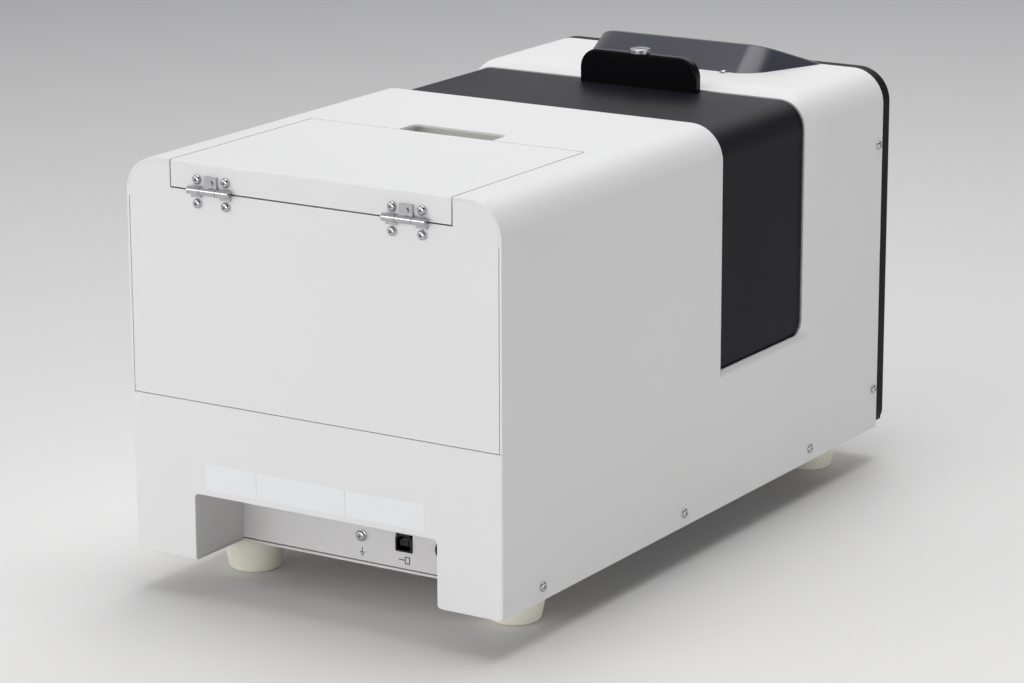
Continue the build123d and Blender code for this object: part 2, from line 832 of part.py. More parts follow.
tray_floor = rim_top - tray_depth
rim_bottom = rim_top - tray_rim
rim_front = pocket_front + pocket_margin + tray_wall
accessory_rim = accessory_fit + tray_wall + accessory_margin
tile_place = tile_case_radius + accessory_rim - tray_half_width
tile_depth = tray_rear + tile_case_radius + accessory_rim
mask_place = tray_half_width - mask_radius - accessory_rim
mask_depth = tray_rear + mask_radius + accessory_rim
zero_box_depth = tray_front - tray_wall - zero_box_radius - accessory_rim
accessory_places = [
    (tile_place, tile_depth, tile_case_radius), (mask_place, mask_depth, mask_radius),
    (0, zero_box_depth, zero_box_radius),
]
pocket_rear = lid_length - pocket_under_lid
with BuildPart() as accessory_tray:
    slab(-frame_half_width, frame_half_width, tray_rear - tray_wall, rim_front, rim_bottom, rim_top)
    slab(
        -tray_half_width - tray_wall, tray_half_width + tray_wall, tray_rear - tray_wall,
        tray_front, tray_floor - tray_wall, rim_top,
    )
    slab(
        -pocket_half_width - pocket_margin - tray_wall, pocket_half_width + pocket_margin + tray_wall,
        tray_front - tray_wall, rim_front, rim_top - pocket_depth, rim_top,
    )
    slab(
        -tray_half_width, tray_half_width, tray_rear, tray_front - tray_wall, tray_floor,
        shell_height, mode=Mode.SUBTRACT,
    )
    slab(
        -pocket_half_width - pocket_margin, pocket_half_width + pocket_margin, pocket_rear,
        rim_front - tray_wall, rim_top - pocket_depth + tray_rim, shell_height, mode=Mode.SUBTRACT,
    )
    # raised rings that hold the accessories
    for place, depth, radius in accessory_places:
        with BuildSketch(height_plane(tray_floor - tray_wall / 2)):
            with Locations((place, y_at(depth))):
                Circle(radius + accessory_fit + tray_wall)
                Circle(radius + accessory_fit, mode=Mode.SUBTRACT)
        extrude(amount=tray_rib_height + tray_wall / 2)
save(accessory_tray, "accessory_tray")


def turned(points, middle_x, middle_depth):
    """A body turned about an upright line from (radius, height) points."""
    spot = (middle_x, y_at(middle_depth), z_at(0))
    with BuildPart() as body:
        with BuildSketch(Plane(spot, x_dir=(1, 0, 0), z_dir=(0, -1, 0))):
            with BuildLine():
                Polyline(*points, close=True)
            make_face()
        revolve(axis=Axis(spot, (0, 0, 1)))
    return body


# white calibration tile, bedded in its open case
tile_seat = tray_floor + tile_case_floor
tile_edge = tile_radius + seating_gap
case_top = tray_floor + tile_case_height
case = turned(
    [
        (0, tray_floor), (tile_case_radius, tray_floor), (tile_case_radius, case_top),
        (tile_edge, case_top), (tile_edge, tile_seat), (0, tile_seat),
    ],
    tile_place, tile_depth,
)
save(case, "tile_case")

with BuildPart() as calibration_tile:
    with Locations((tile_place, y_at(tile_depth), z_at(tile_seat))):
        Cylinder(tile_radius, tile_thickness, align=(Align.CENTER, Align.CENTER, Align.MIN))
    chamfer(calibration_tile.edges().group_by(Axis.Z)[-1], seating_gap * 5)
save(calibration_tile, "calibration_tile")

# zero box: a light trap, a cup with a cone standing in it
cup = zero_box_radius - zero_box_wall
box_top = tray_floor + zero_box_height
box_seat = tray_floor + zero_box_wall
zero_box = turned(
    [
        (0, tray_floor), (zero_box_radius, tray_floor), (zero_box_radius, box_top), (cup, box_top),
        (cup, box_seat), (0, box_top - 2 * zero_box_wall),
    ],
    0, zero_box_depth,
)
save(zero_box, "zero_box")


def mask_profile(aperture):
    """Half section of an aperture mask: (radius, height above its back) points."""
    return [
        (mask_throat, 0), (mask_radius, 0), (mask_radius, mask_thickness),
        (aperture, mask_thickness), (aperture, mask_thickness - mask_land),
    ]


# spare masks with smaller apertures, stacked in their pocket
with BuildPart() as spare_masks:
    for number, aperture in enumerate(spare_apertures):
        base = tray_floor + number * (mask_thickness + seating_gap)
        spare = turned([(r, base + h) for r, h in mask_profile(aperture)], mask_place, mask_depth)
        add(spare.part)
save(spare_masks, "spare_masks")

# ---------------------------------------------------------------- chamber cover, tab and knob

cover_front = window_front - cover_lip_gap
cover_rear = window_rear - cover_rear_lap
cover_sill = window_sill_height + cover_lip_gap
liner_inset = cover_inset + cover_skin_wall
liner_front = window_front + liner_front_lap
liner_sill = window_sill_height - liner_sill_lap


def saddle(inset, wall, front, sill, corner):
    """A folded cover of one wall thickness, seated inside the shell by inset."""
    with BuildPart() as body:
        with BuildSketch(depth_plane(cover_rear)):
            add(arch(inset, sill))
            add(arch(inset + wall, sill - wall), mode=Mode.SUBTRACT)
        extrude(amount=front - cover_rear)
        with BuildSketch(Plane.YZ):
            add(side_view(cover_rear, front, sill, lip_top, corner))
        extrude(amount=half_width, both=True, mode=Mode.INTERSECT)
    return body


chamber_cover = saddle(cover_inset, cover_skin_wall, cover_front, cover_sill, cover_corner)
with BuildPart(mode=Mode.PRIVATE) as tab_holes:
    tab_middle = cover_front - tab_front_gap - tab_thickness / 2
    with Locations(*[(tab_offset + side * tab_screw_spread, y_at(tab_middle)) for side in (-1, 1)]):
        Cylinder(button_shank + screw_clearance, 3 * z_at(shell_height))
with BuildPart() as cover_skin:
    add(chamber_cover.part)
    add(tab_holes.part, mode=Mode.SUBTRACT)
save(cover_skin, "chamber_cover")

with BuildPart() as cover_liner:
    add(saddle(liner_inset, cover_liner_wall, liner_front, liner_sill, cover_corner).part)
    add(tab_holes.part, mode=Mode.SUBTRACT)
save(cover_liner, "cover_liner")

# pull tab: a rounded plate standing on the cover
cover_top = shell_height - cover_inset
tab_top = cover_top + tab_height
with BuildPart() as pull_tab:
    with BuildSketch(depth_plane(tab_middle - tab_thickness / 2)) as tab_face:
        with Locations((tab_offset, z_at(cover_top))):
            Rectangle(tab_width, tab_height, align=(Align.CENTER, Align.MIN))
        fillet(tab_face.vertices().group_by(Axis.Y)[-1], tab_corner)
    extrude(amount=tab_thickness)
    rims = pull_tab.faces().filter_by(Axis.Y).edges()
    fillet(rims.filter_by(lambda e: e.center().Z > z_at(cover_top) + tab_edge), tab_edge)
    with Locations((tab_offset, y_at(tab_middle), z_at(tab_top))):
        Cylinder(
            knob_shaft_radius + pin_clearance, 2 * (knob_shaft_length + seating_gap), mode=Mode.SUBTRACT
        )
    for side in (-1, 1):
        with Locations((tab_offset + side * tab_screw_spread, y_at(tab_middle), z_at(cover_top))):
            Cylinder(button_shank, 2 * tab_screw_grip, mode=Mode.SUBTRACT)
save(pull_tab, "pull_tab")

# screws up through the cover into the tab
tab_screw = domed_screw(
    button_radius, button_height, button_shank, cover_skin_wall + cover_liner_wall + tab_screw_grip
)
with BuildPart() as tab_screws:
    for side in (-1, 1):
        spot = (
            tab_offset + side * tab_screw_spread, y_at(tab_middle),
            z_at(shell_height - liner_inset - cover_liner_wall),
        )
        with Locations(Plane(spot, x_dir=(1, 0, 0), z_dir=(0, 0, -1))):
            add(tab_screw)
save(tab_screws, "tab_screws")

# slotted lock knob, turning in the tab
with BuildPart() as lock_knob:
    with Locations((tab_offset, y_at(tab_middle), z_at(tab_top + seating_gap))):
        Cylinder(knob_radius, knob_height, align=(Align.CENTER, Align.CENTER, Align.MIN))
        fillet(lock_knob.edges().group_by(Axis.Z)[-1], knob_slot / 2)
        Cylinder(knob_shaft_radius, knob_shaft_length, align=(Align.CENTER, Align.CENTER, Align.MAX))
    with Locations((tab_offset, y_at(tab_middle), z_at(tab_top + seating_gap + knob_height))):
        Box(3 * knob_radius, knob_slot, 2 * knob_slot_depth, mode=Mode.SUBTRACT)
save(lock_knob, "lock_knob")

# ---------------------------------------------------------------- chassis

bulkhead_rear = cover_rear - bulkhead_sheet
front_bulkhead_rear = window_front + lip_front_width + sheet
front_bulkhead_front = front_bulkhead_rear + bulkhead_sheet
frame_step = window_sill_height - frame_step_drop
frame_front_height = shell_height - frame_front_drop
floor_top = frame_step + seating_gap + chamber_floor_sheet
under_cover = shell_height - liner_inset - cover_liner_wall - cover_headroom
frame_rear = panel_fold + 2 * sheet
frame_front = shell_length - spigot_length - 2 * joint_gap


def side_frame(side):
    """One upright frame: tall behind the chamber, low beside it, tall again in front."""
    outer = Plane.YZ.offset(side * frame_half_width)
    with BuildPart() as frame:
        with BuildSketch(outer):
            with BuildLine():
                Polyline(
                    (y_at(frame_rear), z_at(rail_sheet + 2 * seating_gap)),
                    (y_at(frame_rear), z_at(rim_bottom - seating_gap)),
                    (y_at(rim_front), z_at(rim_bottom - seating_gap)),
                    (y_at(rim_front), z_at(under_cover)),
                    (y_at(cover_rear), z_at(under_cover)),
                    (y_at(cover_rear), z_at(frame_step)),
                    (y_at(front_bulkhead_front + joint_gap), z_at(frame_step)),
                    (y_at(front_bulkhead_front + joint_gap), z_at(frame_front_height)),
                    (y_at(frame_front), z_at(frame_front_height)),
                    (y_at(frame_front), z_at(rail_sheet + 2 * seating_gap)),
                    close=True,
                )
            make_face()
            with Locations(*[(y_at(cover_rear * part), z_at(frame_step)) for part in frame_hole_parts]):
                Circle(frame_hole_radius, mode=Mode.SUBTRACT)
        extrude(amount=-side * frame_sheet)
    return frame


save(side_frame(-1), "left_frame")
save(side_frame(1), "right_frame")

inside_frames = frame_half_width - frame_sheet - seating_gap
with BuildPart() as chamber_floor:
    slab(
        -frame_half_width, frame_half_width, cover_rear + seating_gap,
        front_bulkhead_rear - seating_gap, frame_step + seating_gap, floor_top,
    )
save(chamber_floor, "chamber_floor")

with BuildPart() as rear_bulkhead:
    slab(-inside_frames, inside_frames, bulkhead_rear, cover_rear, frame_step, under_cover)
    with Locations((0, y_at(cover_rear), z_at(axis_height))):
        Cylinder(barrel_outer + seating_gap, 4 * bulkhead_sheet, rotation=(90, 0, 0), mode=Mode.SUBTRACT)
save(rear_bulkhead, "rear_bulkhead")

with BuildPart() as front_bulkhead:
    with BuildSketch(depth_plane(front_bulkhead_rear)):
        add(arch(sheet + joint_gap, floor_top + seating_gap))
        with Locations((0, z_at(axis_height))):
            Circle(chamber_port_radius + neck_wall + seating_gap, mode=Mode.SUBTRACT)
    extrude(amount=bulkhead_sheet)
save(front_bulkhead, "front_bulkhead")

# guide rails for the cover's lower edges, on the frames' outer faces
cover_travel = cover_rear - rim_front - cover_end_gap
guide_top = liner_sill - guide_clearance
liner_inner = half_width - liner_inset - cover_liner_wall
with BuildPart() as cover_guides:
    for side in (-1, 1):
        slab(
            *sorted((side * (frame_half_width + seating_gap), side * (half_width - liner_inset))),
            cover_rear - cover_travel - bulkhead_gap, liner_front + seating_gap,
            guide_top - guide_height, guide_top,
        )
        slab(
            *sorted((side * (frame_half_width + seating_gap), side * (liner_inner - joint_gap))),
            cover_rear - cover_travel - bulkhead_gap, liner_front + seating_gap,
            guide_top - guide_height, guide_top + guide_fence,
        )
save(cover_guides, "cover_guides")

# ---------------------------------------------------------------- optics


def ring(outer, inner, depth_low, depth_high, mode=Mode.ADD):
    """A ring about the optical axis between two depths; inner 0 makes a disc."""
    with BuildSketch(depth_plane(depth_low), mode=Mode.PRIVATE) as face:
        with Locations((0, z_at(axis_height))):
            Circle(outer)
            if inner:
                Circle(inner, mode=Mode.SUBTRACT)
    extrude(face.sketch, amount=depth_high - depth_low, mode=mode)


seat_rear = mask_face - mask_thickness - seat_gap - seat_thickness
sphere_outer = sphere_radius + sphere_wall
sphere_depth = (front_bulkhead_front + seat_rear) / 2
sphere_middle = (0, y_at(sphere_depth), z_at(axis_height))


def sphere_half(direction, port_radius, neck_end):
    """Half of the integrating sphere, turned in one piece with its flange and its port's neck."""
    flange_radius = sphere_outer + sphere_flange
    flange = seating_gap + sphere_flange_sheet
    neck_radius = port_radius + neck_wall
    end = abs(neck_end - sphere_depth)
    # angles at the middle, from the joint towards the port
    outside_from = degrees(asin(flange / sphere_outer))
    outside_to = degrees(acos(neck_radius / sphere_outer))
    inside_from = degrees(asin(seating_gap / sphere_radius))
    inside_to = degrees(acos(port_radius / sphere_radius))
    with BuildPart() as half:
        with BuildSketch(Plane(sphere_middle, x_dir=(1, 0, 0), z_dir=(0, 0, -direction))):
            with BuildLine():
                outside = CenterArc((0, 0), sphere_outer, outside_from, outside_to - outside_from)
                inside = CenterArc((0, 0), sphere_radius, inside_from, inside_to - inside_from)
                Polyline(inside @ 0, (flange_radius, seating_gap), (flange_radius, flange), outside @ 0)
                Polyline(outside @ 1, (neck_radius, end), (port_radius, end), inside @ 1)
            make_face()
        revolve(axis=Axis(sphere_middle, (0, 1, 0)))
    return half


front_half = sphere_half(1, sphere_port_radius, seat_rear - seating_gap)
rear_half = sphere_half(-1, chamber_port_radius, front_bulkhead_rear)
# the lamp's light enters the rear half from the side
lamp_depth = sphere_depth - lamp_neck_radius - sphere_flange_sheet - 2 * joint_gap
with BuildPart() as sphere_rear_half:
    add(rear_half.part)
    with Locations((0, y_at(lamp_depth), z_at(axis_height))):
        Cylinder(
            lamp_neck_radius, 2 * sphere_outer, rotation=(0, 90, 0),
            align=(Align.CENTER, Align.CENTER, Align.MIN), mode=Mode.SUBTRACT,
        )
save(front_half, "sphere_front_half")
save(sphere_rear_half, "sphere_rear_half")

with BuildPart() as chamber_port:
    ring(
        chamber_port_flange, chamber_port_radius, front_bulkhead_rear - chamber_port_sheet,
        front_bulkhead_rear - seating_gap,
    )
    chamfer(chamber_port.edges().filter_by(GeomType.CIRCLE).group_by(Axis.Y)[-1], chamber_port_sheet / 2)
save(chamber_port, "chamber_port")

barrel_front = cover_rear + chamber_port_sheet
barrel_rear = barrel_front - barrel_length
lens_front = barrel_front - lens_inset
with BuildPart() as lens_barrel:
    ring(barrel_outer, barrel_inner, barrel_rear, barrel_front)
    ring(
        barrel_inner + seating_gap, barrel_inner - 2 * sheet, lens_front - lens_thickness - 2 * sheet,
        lens_front - lens_thickness - joint_gap,
    )
save(lens_barrel, "lens_barrel")

with BuildPart() as receiving_lens:
    ring(barrel_inner - seating_gap, 0, lens_front - lens_thickness, lens_front)
    fillet(receiving_lens.edges().group_by(Axis.Y)[0], lens_bulge)
save(receiving_lens, "receiving_lens")

lamp_inner = sphere_outer + sphere_flange + sphere_gap
lamp_width = inside_frames - lamp_side_gap - lamp_inner
with BuildPart() as lamp_housing:
    slab(
        lamp_inner, lamp_inner + lamp_width, lamp_depth - lamp_length / 2, lamp_depth + lamp_length / 2,
        axis_height - lamp_height / 2, axis_height + lamp_height / 2,
    )
    fillet(lamp_housing.edges().filter_by(Axis.Y), sphere_wall)
    slab(
        lamp_inner + sphere_wall, lamp_inner + lamp_width + sphere_wall,
        lamp_depth - lamp_length / 2 + sphere_wall, lamp_depth + lamp_length / 2 - sphere_wall,
        axis_height - lamp_height / 2 + sphere_wall, axis_height + lamp_height / 2 - sphere_wall,
        mode=Mode.SUBTRACT,
    )
    with Locations((lamp_inner, y_at(lamp_depth), z_at(axis_height))):
        Cylinder(lamp_neck_radius, 4 * sphere_wall, rotation=(0, 90, 0), mode=Mode.SUBTRACT)
save(lamp_housing, "lamp_housing")

with BuildPart() as flash_tube:
    with Locations((lamp_inner + lamp_width / 2, y_at(lamp_depth), z_at(axis_height))):
        Cylinder(flash_tube_radius, lamp_height - 2 * sphere_wall - 2 * seating_gap)
save(flash_tube, "flash_tube")

# optics bench with the spectrometer behind the receiving lens
spectrometer_front = barrel_rear - seating_gap
spectrometer_base = axis_height - spectrometer_height / 2 - spectrometer_wall
with BuildPart() as optics_bench:
    slab(
        -inside_frames, inside_frames, spectrometer_front - spectrometer_length - 2 * spectrometer_corner,
        bulkhead_rear - seating_gap, spectrometer_base - seating_gap - bench_sheet,
        spectrometer_base - seating_gap,
    )
save(optics_bench, "optics_bench")


def spectrometer_plan(inset):
    """Plan of the spectrometer's box, set in by inset."""
    with BuildSketch(mode=Mode.PRIVATE) as plan:
        with Locations((0, y_at(spectrometer_front - spectrometer_length / 2))):
            RectangleRounded(
                spectrometer_width - 2 * inset, spectrometer_length - 2 * inset, spectrometer_corner - inset
            )
    return plan.sketch


with BuildPart() as spectrometer_housing:
    with BuildSketch(height_plane(spectrometer_base)):
        add(spectrometer_plan(0))
    extrude(amount=spectrometer_height)
    with BuildSketch(height_plane(spectrometer_base + spectrometer_wall)):
        add(spectrometer_plan(spectrometer_wall))
    extrude(amount=spectrometer_height, mode=Mode.SUBTRACT)
    with Locations((0, y_at(spectrometer_front), z_at(axis_height))):
        Cylinder(barrel_inner - 2 * sheet, 4 * spectrometer_wall, rotation=(90, 0, 0), mode=Mode.SUBTRACT)
save(spectrometer_housing, "spectrometer_housing")

with BuildPart() as spectrometer_cover:
    with BuildSketch(height_plane(spectrometer_base + spectrometer_height)):
        add(spectrometer_plan(0))
    extrude(amount=spectrometer_lid)
save(spectrometer_cover, "spectrometer_cover")

# ---------------------------------------------------------------- electronics

board_top = usb_base - seating_gap
main_board_half_width = frame_half_width - board_side_gap
main_board_rear = bay_front + 2 * joint_gap
main_board_length = cover_rear - main_board_front_gap - main_board_rear


def circuit_board(depth, length, chips):
    """A board on four standoffs, with a row of flat chips along its middle."""
    edge = main_board_half_width - board_standoff_inset
    ends = (depth + board_standoff_inset, depth + length - board_standoff_inset)
    with BuildPart() as board:
        slab(
            -main_board_half_width, main_board_half_width, depth, depth + length,
            board_top - board_sheet, board_top,
        )
        with Locations(*[(x, y_at(d), z_at(0)) for x in (-edge, edge) for d in ends]):
            Cylinder(
                board_standoff_radius, board_top - board_sheet,
                align=(Align.CENTER, Align.CENTER, Align.MIN),
            )
        with Locations((0, y_at(depth + length * chip_row_part), z_at(board_top))):
            with GridLocations(chip_pitch, 1, chips, 1):
                Box(chip_size, chip_size, chip_height, align=(Align.CENTER, Align.CENTER, Align.MIN))
    return board


# the main board is notched round the power switch
with BuildPart() as main_board:
    add(circuit_board(main_board_rear, main_board_length, 4).part)
    slab(
        -main_board_half_width, switch_offset + switch_width / 2 + board_sheet, bay_front,
        bay_depth + switch_length + board_sheet, 0, 2 * board_top, mode=Mode.SUBTRACT,
    )
save(main_board, "main_board")
power_board_depth = cover_rear + 2 * frame_sheet
save(circuit_board(power_board_depth, power_board_length, 2), "power_board")

with BuildPart() as flash_capacitors:
    capacitor_row = power_board_depth + power_board_length * capacitor_row_part
    with Locations((0, y_at(capacitor_row), z_at(board_top))):
        with GridLocations(capacitor_pitch, 1, 4, 1):
            Cylinder(
                capacitor_radius, capacitor_height, align=(Align.CENTER, Align.CENTER, Align.MIN)
            )
save(flash_capacitors, "flash_capacitors")

# ---------------------------------------------------------------- front panel

spigot_rear = shell_length - spigot_length
status_offset = half_width - status_side_margin
status_height = shell_height - status_drop
with BuildPart() as front_panel:
    with BuildSketch(depth_plane(shell_length + joint_gap)) as panel_face:
        add(arch(0, 0))
        fillet(panel_face.vertices().group_by(Axis.Y)[0], panel_bottom_corner)
    extrude(amount=panel_depth)
    fillet(front_panel.faces().sort_by(Axis.Y)[0].edges(), panel_edge)
    with BuildSketch(depth_plane(shell_length)) as panel_inside:
        add(arch(panel_wall, panel_wall))
        fillet(panel_inside.vertices().group_by(Axis.Y)[0], panel_bottom_corner - panel_wall)
    extrude(amount=panel_depth + joint_gap - panel_wall, mode=Mode.SUBTRACT)
    # spigot that slides into the shell
    with BuildSketch(depth_plane(spigot_rear)):
        add(arch(sheet + joint_gap / 2, panel_wall))
        add(arch(sheet + joint_gap / 2 + spigot_wall, panel_wall + spigot_wall), mode=Mode.SUBTRACT)
    extrude(amount=spigot_length + joint_gap + panel_depth - panel_wall)
    with Locations(*[(0, y_at(front_screw_depth), z_at(h)) for h in front_screw_heights]):
        Cylinder(pan_shank + screw_clearance, 2 * shell_width, rotation=(0, 90, 0), mode=Mode.SUBTRACT)
    # port, status lamp and holder screws
    ring(port_ring_radius + seating_gap, 0, shell_length, mask_face, mode=Mode.SUBTRACT)
    with Locations((status_offset, y_at(front_face), z_at(status_height))):
        Cylinder(status_radius + seating_gap, 4 * panel_wall, rotation=(90, 0, 0), mode=Mode.SUBTRACT)
save(front_panel, "front_panel")

with BuildPart() as status_lamp:
    with Locations((status_offset, y_at(front_face + joint_gap), z_at(status_height))):
        Cylinder(
            status_radius, panel_wall + 2 * joint_gap, rotation=(90, 0, 0),
            align=(Align.CENTER, Align.CENTER, Align.MAX),
        )
    fillet(status_lamp.edges().group_by(Axis.Y)[0], joint_gap)
save(status_lamp, "status_lamp")

# ---------------------------------------------------------------- viewer hood

hood_crest = shell_length - hood_crest_margin
hood_front = shell_length + hood_overhang
with BuildPart() as viewer_hood:
    with BuildSketch(Plane.YZ):
        with BuildLine():
            Polyline(
                (y_at(hood_rear), z_at(shell_height)),
                (y_at(hood_crest), z_at(shell_height + hood_height)),
                (y_at(hood_front), z_at(shell_height)),
                close=True,
            )
        make_face()
    extrude(amount=hood_front_half_width, both=True)
    fillet(viewer_hood.edges().filter_by(Axis.X).group_by(Axis.Z)[-1], hood_crest_round)
    with BuildSketch(height_plane(shell_height)) as hood_plan:
        with BuildLine():
            Polyline(
                (-hood_front_half_width, y_at(hood_front)), (hood_front_half_width, y_at(hood_front)),
                (hood_rear_half_width, y_at(hood_rear)), (-hood_rear_half_width, y_at(hood_rear)),
                close=True,
            )
        make_face()
        fillet(hood_plan.vertices().group_by(Axis.Y)[-1], hood_round)
    extrude(amount=hood_height, taper=hood_side_slope, mode=Mode.INTERSECT)
save(viewer_hood, "viewer_hood")

hood_screw = domed_screw(hood_screw_radius, hood_screw_height, button_shank, 2 * sheet)
with BuildPart() as hood_screws:
    with Locations(*hood_screw_spots):
        add(hood_screw)
save(hood_screws, "hood_screws")

# ---------------------------------------------------------------- measuring port

seat_front = seat_rear + seat_thickness
with BuildPart() as port_ring:
    ring(port_ring_radius, 0, seat_rear, front_face + joint_gap)
    ring(port_flange_radius, 0, front_face + seating_gap, front_face + port_flange_height)
    rim = port_ring.faces().sort_by(Axis.Y)[0].edges().filter_by(GeomType.CIRCLE)
    chamfer(rim.sort_by(SortBy.LENGTH)[-1], port_flange_height / 3)
    ring(mask_radius + mask_clearance, 0, seat_front, mask_face, mode=Mode.SUBTRACT)
    ring(mask_throat + mask_clearance, 0, seat_rear - sheet, seat_front, mode=Mode.SUBTRACT)
save(port_ring, "port_ring")

mask_back = mask_face - mask_thickness
mask_spot = (0, y_at(mask_back), z_at(axis_height))
with BuildPart() as target_mask:
    with BuildSketch(Plane(mask_spot, x_dir=(1, 0, 0), z_dir=(0, 0, 1))):
        with BuildLine():
            Polyline(*[(r, -h) for r, h in mask_profile(mask_aperture)], close=True)
        make_face()
    revolve(axis=Axis(mask_spot, (0, 1, 0)))
    # two finger notches in the rim for turning it
    with Locations(*[(side * mask_radius, y_at(mask_face), z_at(axis_height)) for side in (-1, 1)]):
        Cylinder(mask_notch, 2 * mask_land, rotation=(90, 0, 0), mode=Mode.SUBTRACT)
save(target_mask, "target_mask")

# ---------------------------------------------------------------- sample holder

pivot = (0, y_at(front_face + pivot_offset), z_at(pivot_height))
ear_inner = arm_half_width + ear_gap
with BuildPart() as holder_bracket:
    slab(
        -bracket_half_width, bracket_half_width, front_face + seating_gap, front_face + bracket_sheet,
        pivot_height - bracket_height / 2, pivot_height + bracket_height / 2,
    )
    fillet(holder_bracket.edges().filter_by(Axis.Y), ear_width / 2)
    for side in (-1, 1):
        with BuildSketch(Plane.YZ.offset(side * ear_inner)):
            with Locations(pivot[1:]):
                Circle(hub_radius)
            with Locations((y_at(front_face + pivot_offset), z_at(pivot_height))):
                Rectangle(pivot_offset - bracket_sheet / 2, 2 * hub_radius, align=(Align.MIN, Align.CENTER))
        extrude(amount=side * ear_width)
    with Locations(pivot):
        Cylinder(
            pivot_radius + pin_clearance, 3 * bracket_half_width, rotation=(0, 90, 0),
            mode=Mode.SUBTRACT,
        )
save(holder_bracket, "holder_bracket")

with BuildPart() as holder_pin:
    with Locations(pivot):
        Cylinder(pivot_radius, 2 * (ear_inner + ear_width + ear_gap), rotation=(0, 90, 0))
        for side in (-1, 1):
            with Locations((side * (ear_inner + ear_width + 2 * ear_gap), 0, 0)):
                Cylinder(pin_head_radius, 2 * ear_gap, rotation=(0, 90, 0))
save(holder_pin, "holder_pin")

# arm: hub round the pin, a cranked blade, and a round head with the plunger's guide
with BuildPart() as holder_arm:
    with BuildSketch(Plane.YZ):
        with Locations(pivot[1:]):
            Circle(hub_radius)
        with BuildLine():
            Polyline(
                (pivot[1] + arm_toe, z_at(pivot_height)),
                (pivot[1] - hub_radius, z_at(pivot_height)),
                (y_at(arm_depth + arm_thickness), z_at(pivot_height + arm_crank_low)),
                (y_at(arm_depth + arm_thickness), z_at(axis_height)),
                (y_at(arm_depth), z_at(axis_height)),
                (y_at(arm_depth), z_at(pivot_height + arm_crank_high)),
                close=True,
            )
        make_face()
    extrude(amount=arm_half_width, both=True)
    with BuildSketch(depth_plane(front_face)):
        with BuildLine():
            Polyline(
                (-arm_half_width, z_at(pivot_height - hub_radius)),
                (arm_half_width, z_at(pivot_height - hub_radius)),
                (arm_half_width, z_at(pivot_height + hub_radius)),
                (arm_waist, z_at(axis_height - head_radius / 2)),
                (arm_waist, z_at(axis_height)),
                (-arm_waist, z_at(axis_height)),
                (-arm_waist, z_at(axis_height - head_radius / 2)),
                (-arm_half_width, z_at(pivot_height + hub_radius)),
                close=True,
            )
        make_face()
    extrude(amount=2 * arm_offset, mode=Mode.INTERSECT)
    ring(head_radius, 0, arm_depth, arm_depth + arm_thickness)
    ring(boss_radius, 0, arm_depth, arm_depth + arm_thickness + boss_length)
    fillet(holder_arm.faces().sort_by(Axis.Y)[0].edges(), ear_width / 2)
    ring(plunger_radius + plunger_clearance, 0, front_face, knob_end, mode=Mode.SUBTRACT)
    with Locations(pivot):
        Cylinder(pivot_radius + pin_clearance, 3 * arm_half_width, rotation=(0, 90, 0), mode=Mode.SUBTRACT)
save(holder_arm, "holder_arm")

# the plunger slides in the arm: pad plate, rod and pull knob
with BuildPart() as pad_plunger:
    ring(plunger_radius, 0, pad_face + pad_thickness, knob_end)
    ring(
        pad_plate_radius, 0, pad_face + pad_thickness, pad_face + pad_thickness + pad_plate_thickness
    )
    ring(plunger_knob_radius, 0, plunger_end, knob_end)
    fillet(pad_plunger.edges().group_by(Axis.Y)[0], plunger_knob_length / 4)
save(pad_plunger, "pad_plunger")

with BuildPart() as sample_pad:
    ring(pad_plate_radius, 0, pad_face, pad_face + pad_thickness)
    fillet(sample_pad.edges().group_by(Axis.Y)[-1], pad_thickness / 3)
save(sample_pad, "sample_pad")
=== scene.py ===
"""Looks of a benchtop colorimeter, seen from behind on a pale floor: powder coated steel case,
dark moulded chamber cover, bright hinges and screws, cream rubber feet."""

import math

import bmesh
import bpy
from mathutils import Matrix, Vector


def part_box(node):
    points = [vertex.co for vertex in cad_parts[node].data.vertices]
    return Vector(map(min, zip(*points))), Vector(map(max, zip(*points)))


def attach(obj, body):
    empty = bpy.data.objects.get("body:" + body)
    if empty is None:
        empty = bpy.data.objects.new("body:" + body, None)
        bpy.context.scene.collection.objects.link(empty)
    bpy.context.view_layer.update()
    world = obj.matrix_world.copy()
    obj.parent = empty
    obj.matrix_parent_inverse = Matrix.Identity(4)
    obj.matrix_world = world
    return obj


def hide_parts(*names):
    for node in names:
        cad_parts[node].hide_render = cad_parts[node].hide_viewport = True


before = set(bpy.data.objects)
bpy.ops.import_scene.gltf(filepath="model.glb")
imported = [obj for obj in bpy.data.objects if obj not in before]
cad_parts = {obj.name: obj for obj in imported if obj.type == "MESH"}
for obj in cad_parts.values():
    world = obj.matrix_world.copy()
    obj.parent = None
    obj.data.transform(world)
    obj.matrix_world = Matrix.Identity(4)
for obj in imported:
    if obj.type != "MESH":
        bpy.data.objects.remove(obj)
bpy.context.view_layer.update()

MM = 0.001

# directions that a piece modelled along +Z is turned to
TO_REAR = (-math.pi / 2, 0, 0)
TO_FRONT = (math.pi / 2, 0, 0)
TO_RIGHT = (0, math.pi / 2, 0)
TO_LEFT = (0, -math.pi / 2, 0)
UPWARDS = (0, 0, 0)
DOWNWARDS = (math.pi, 0, 0)


# ---------------------------------------------------------------- places taken from the frame


def low(name):
    """Lowest corner of a CAD node, in millimetres."""
    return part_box(name)[0] / MM


def high(name):
    """Highest corner of a CAD node, in millimetres."""
    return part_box(name)[1] / MM


def middle(name):
    """Middle of a CAD node's box, in millimetres."""
    return (low(name) + high(name)) / 2


rear_face = high("lower_rear_panel").y
side_face = high("outer_shell").x
roof = high("outer_shell").z
# the connector panel is set back into the case by this much
bay_depth = 50
socket_face = rear_face - bay_depth
sockets_height = middle("usb_socket").z


# ---------------------------------------------------------------- camera, lamps and room


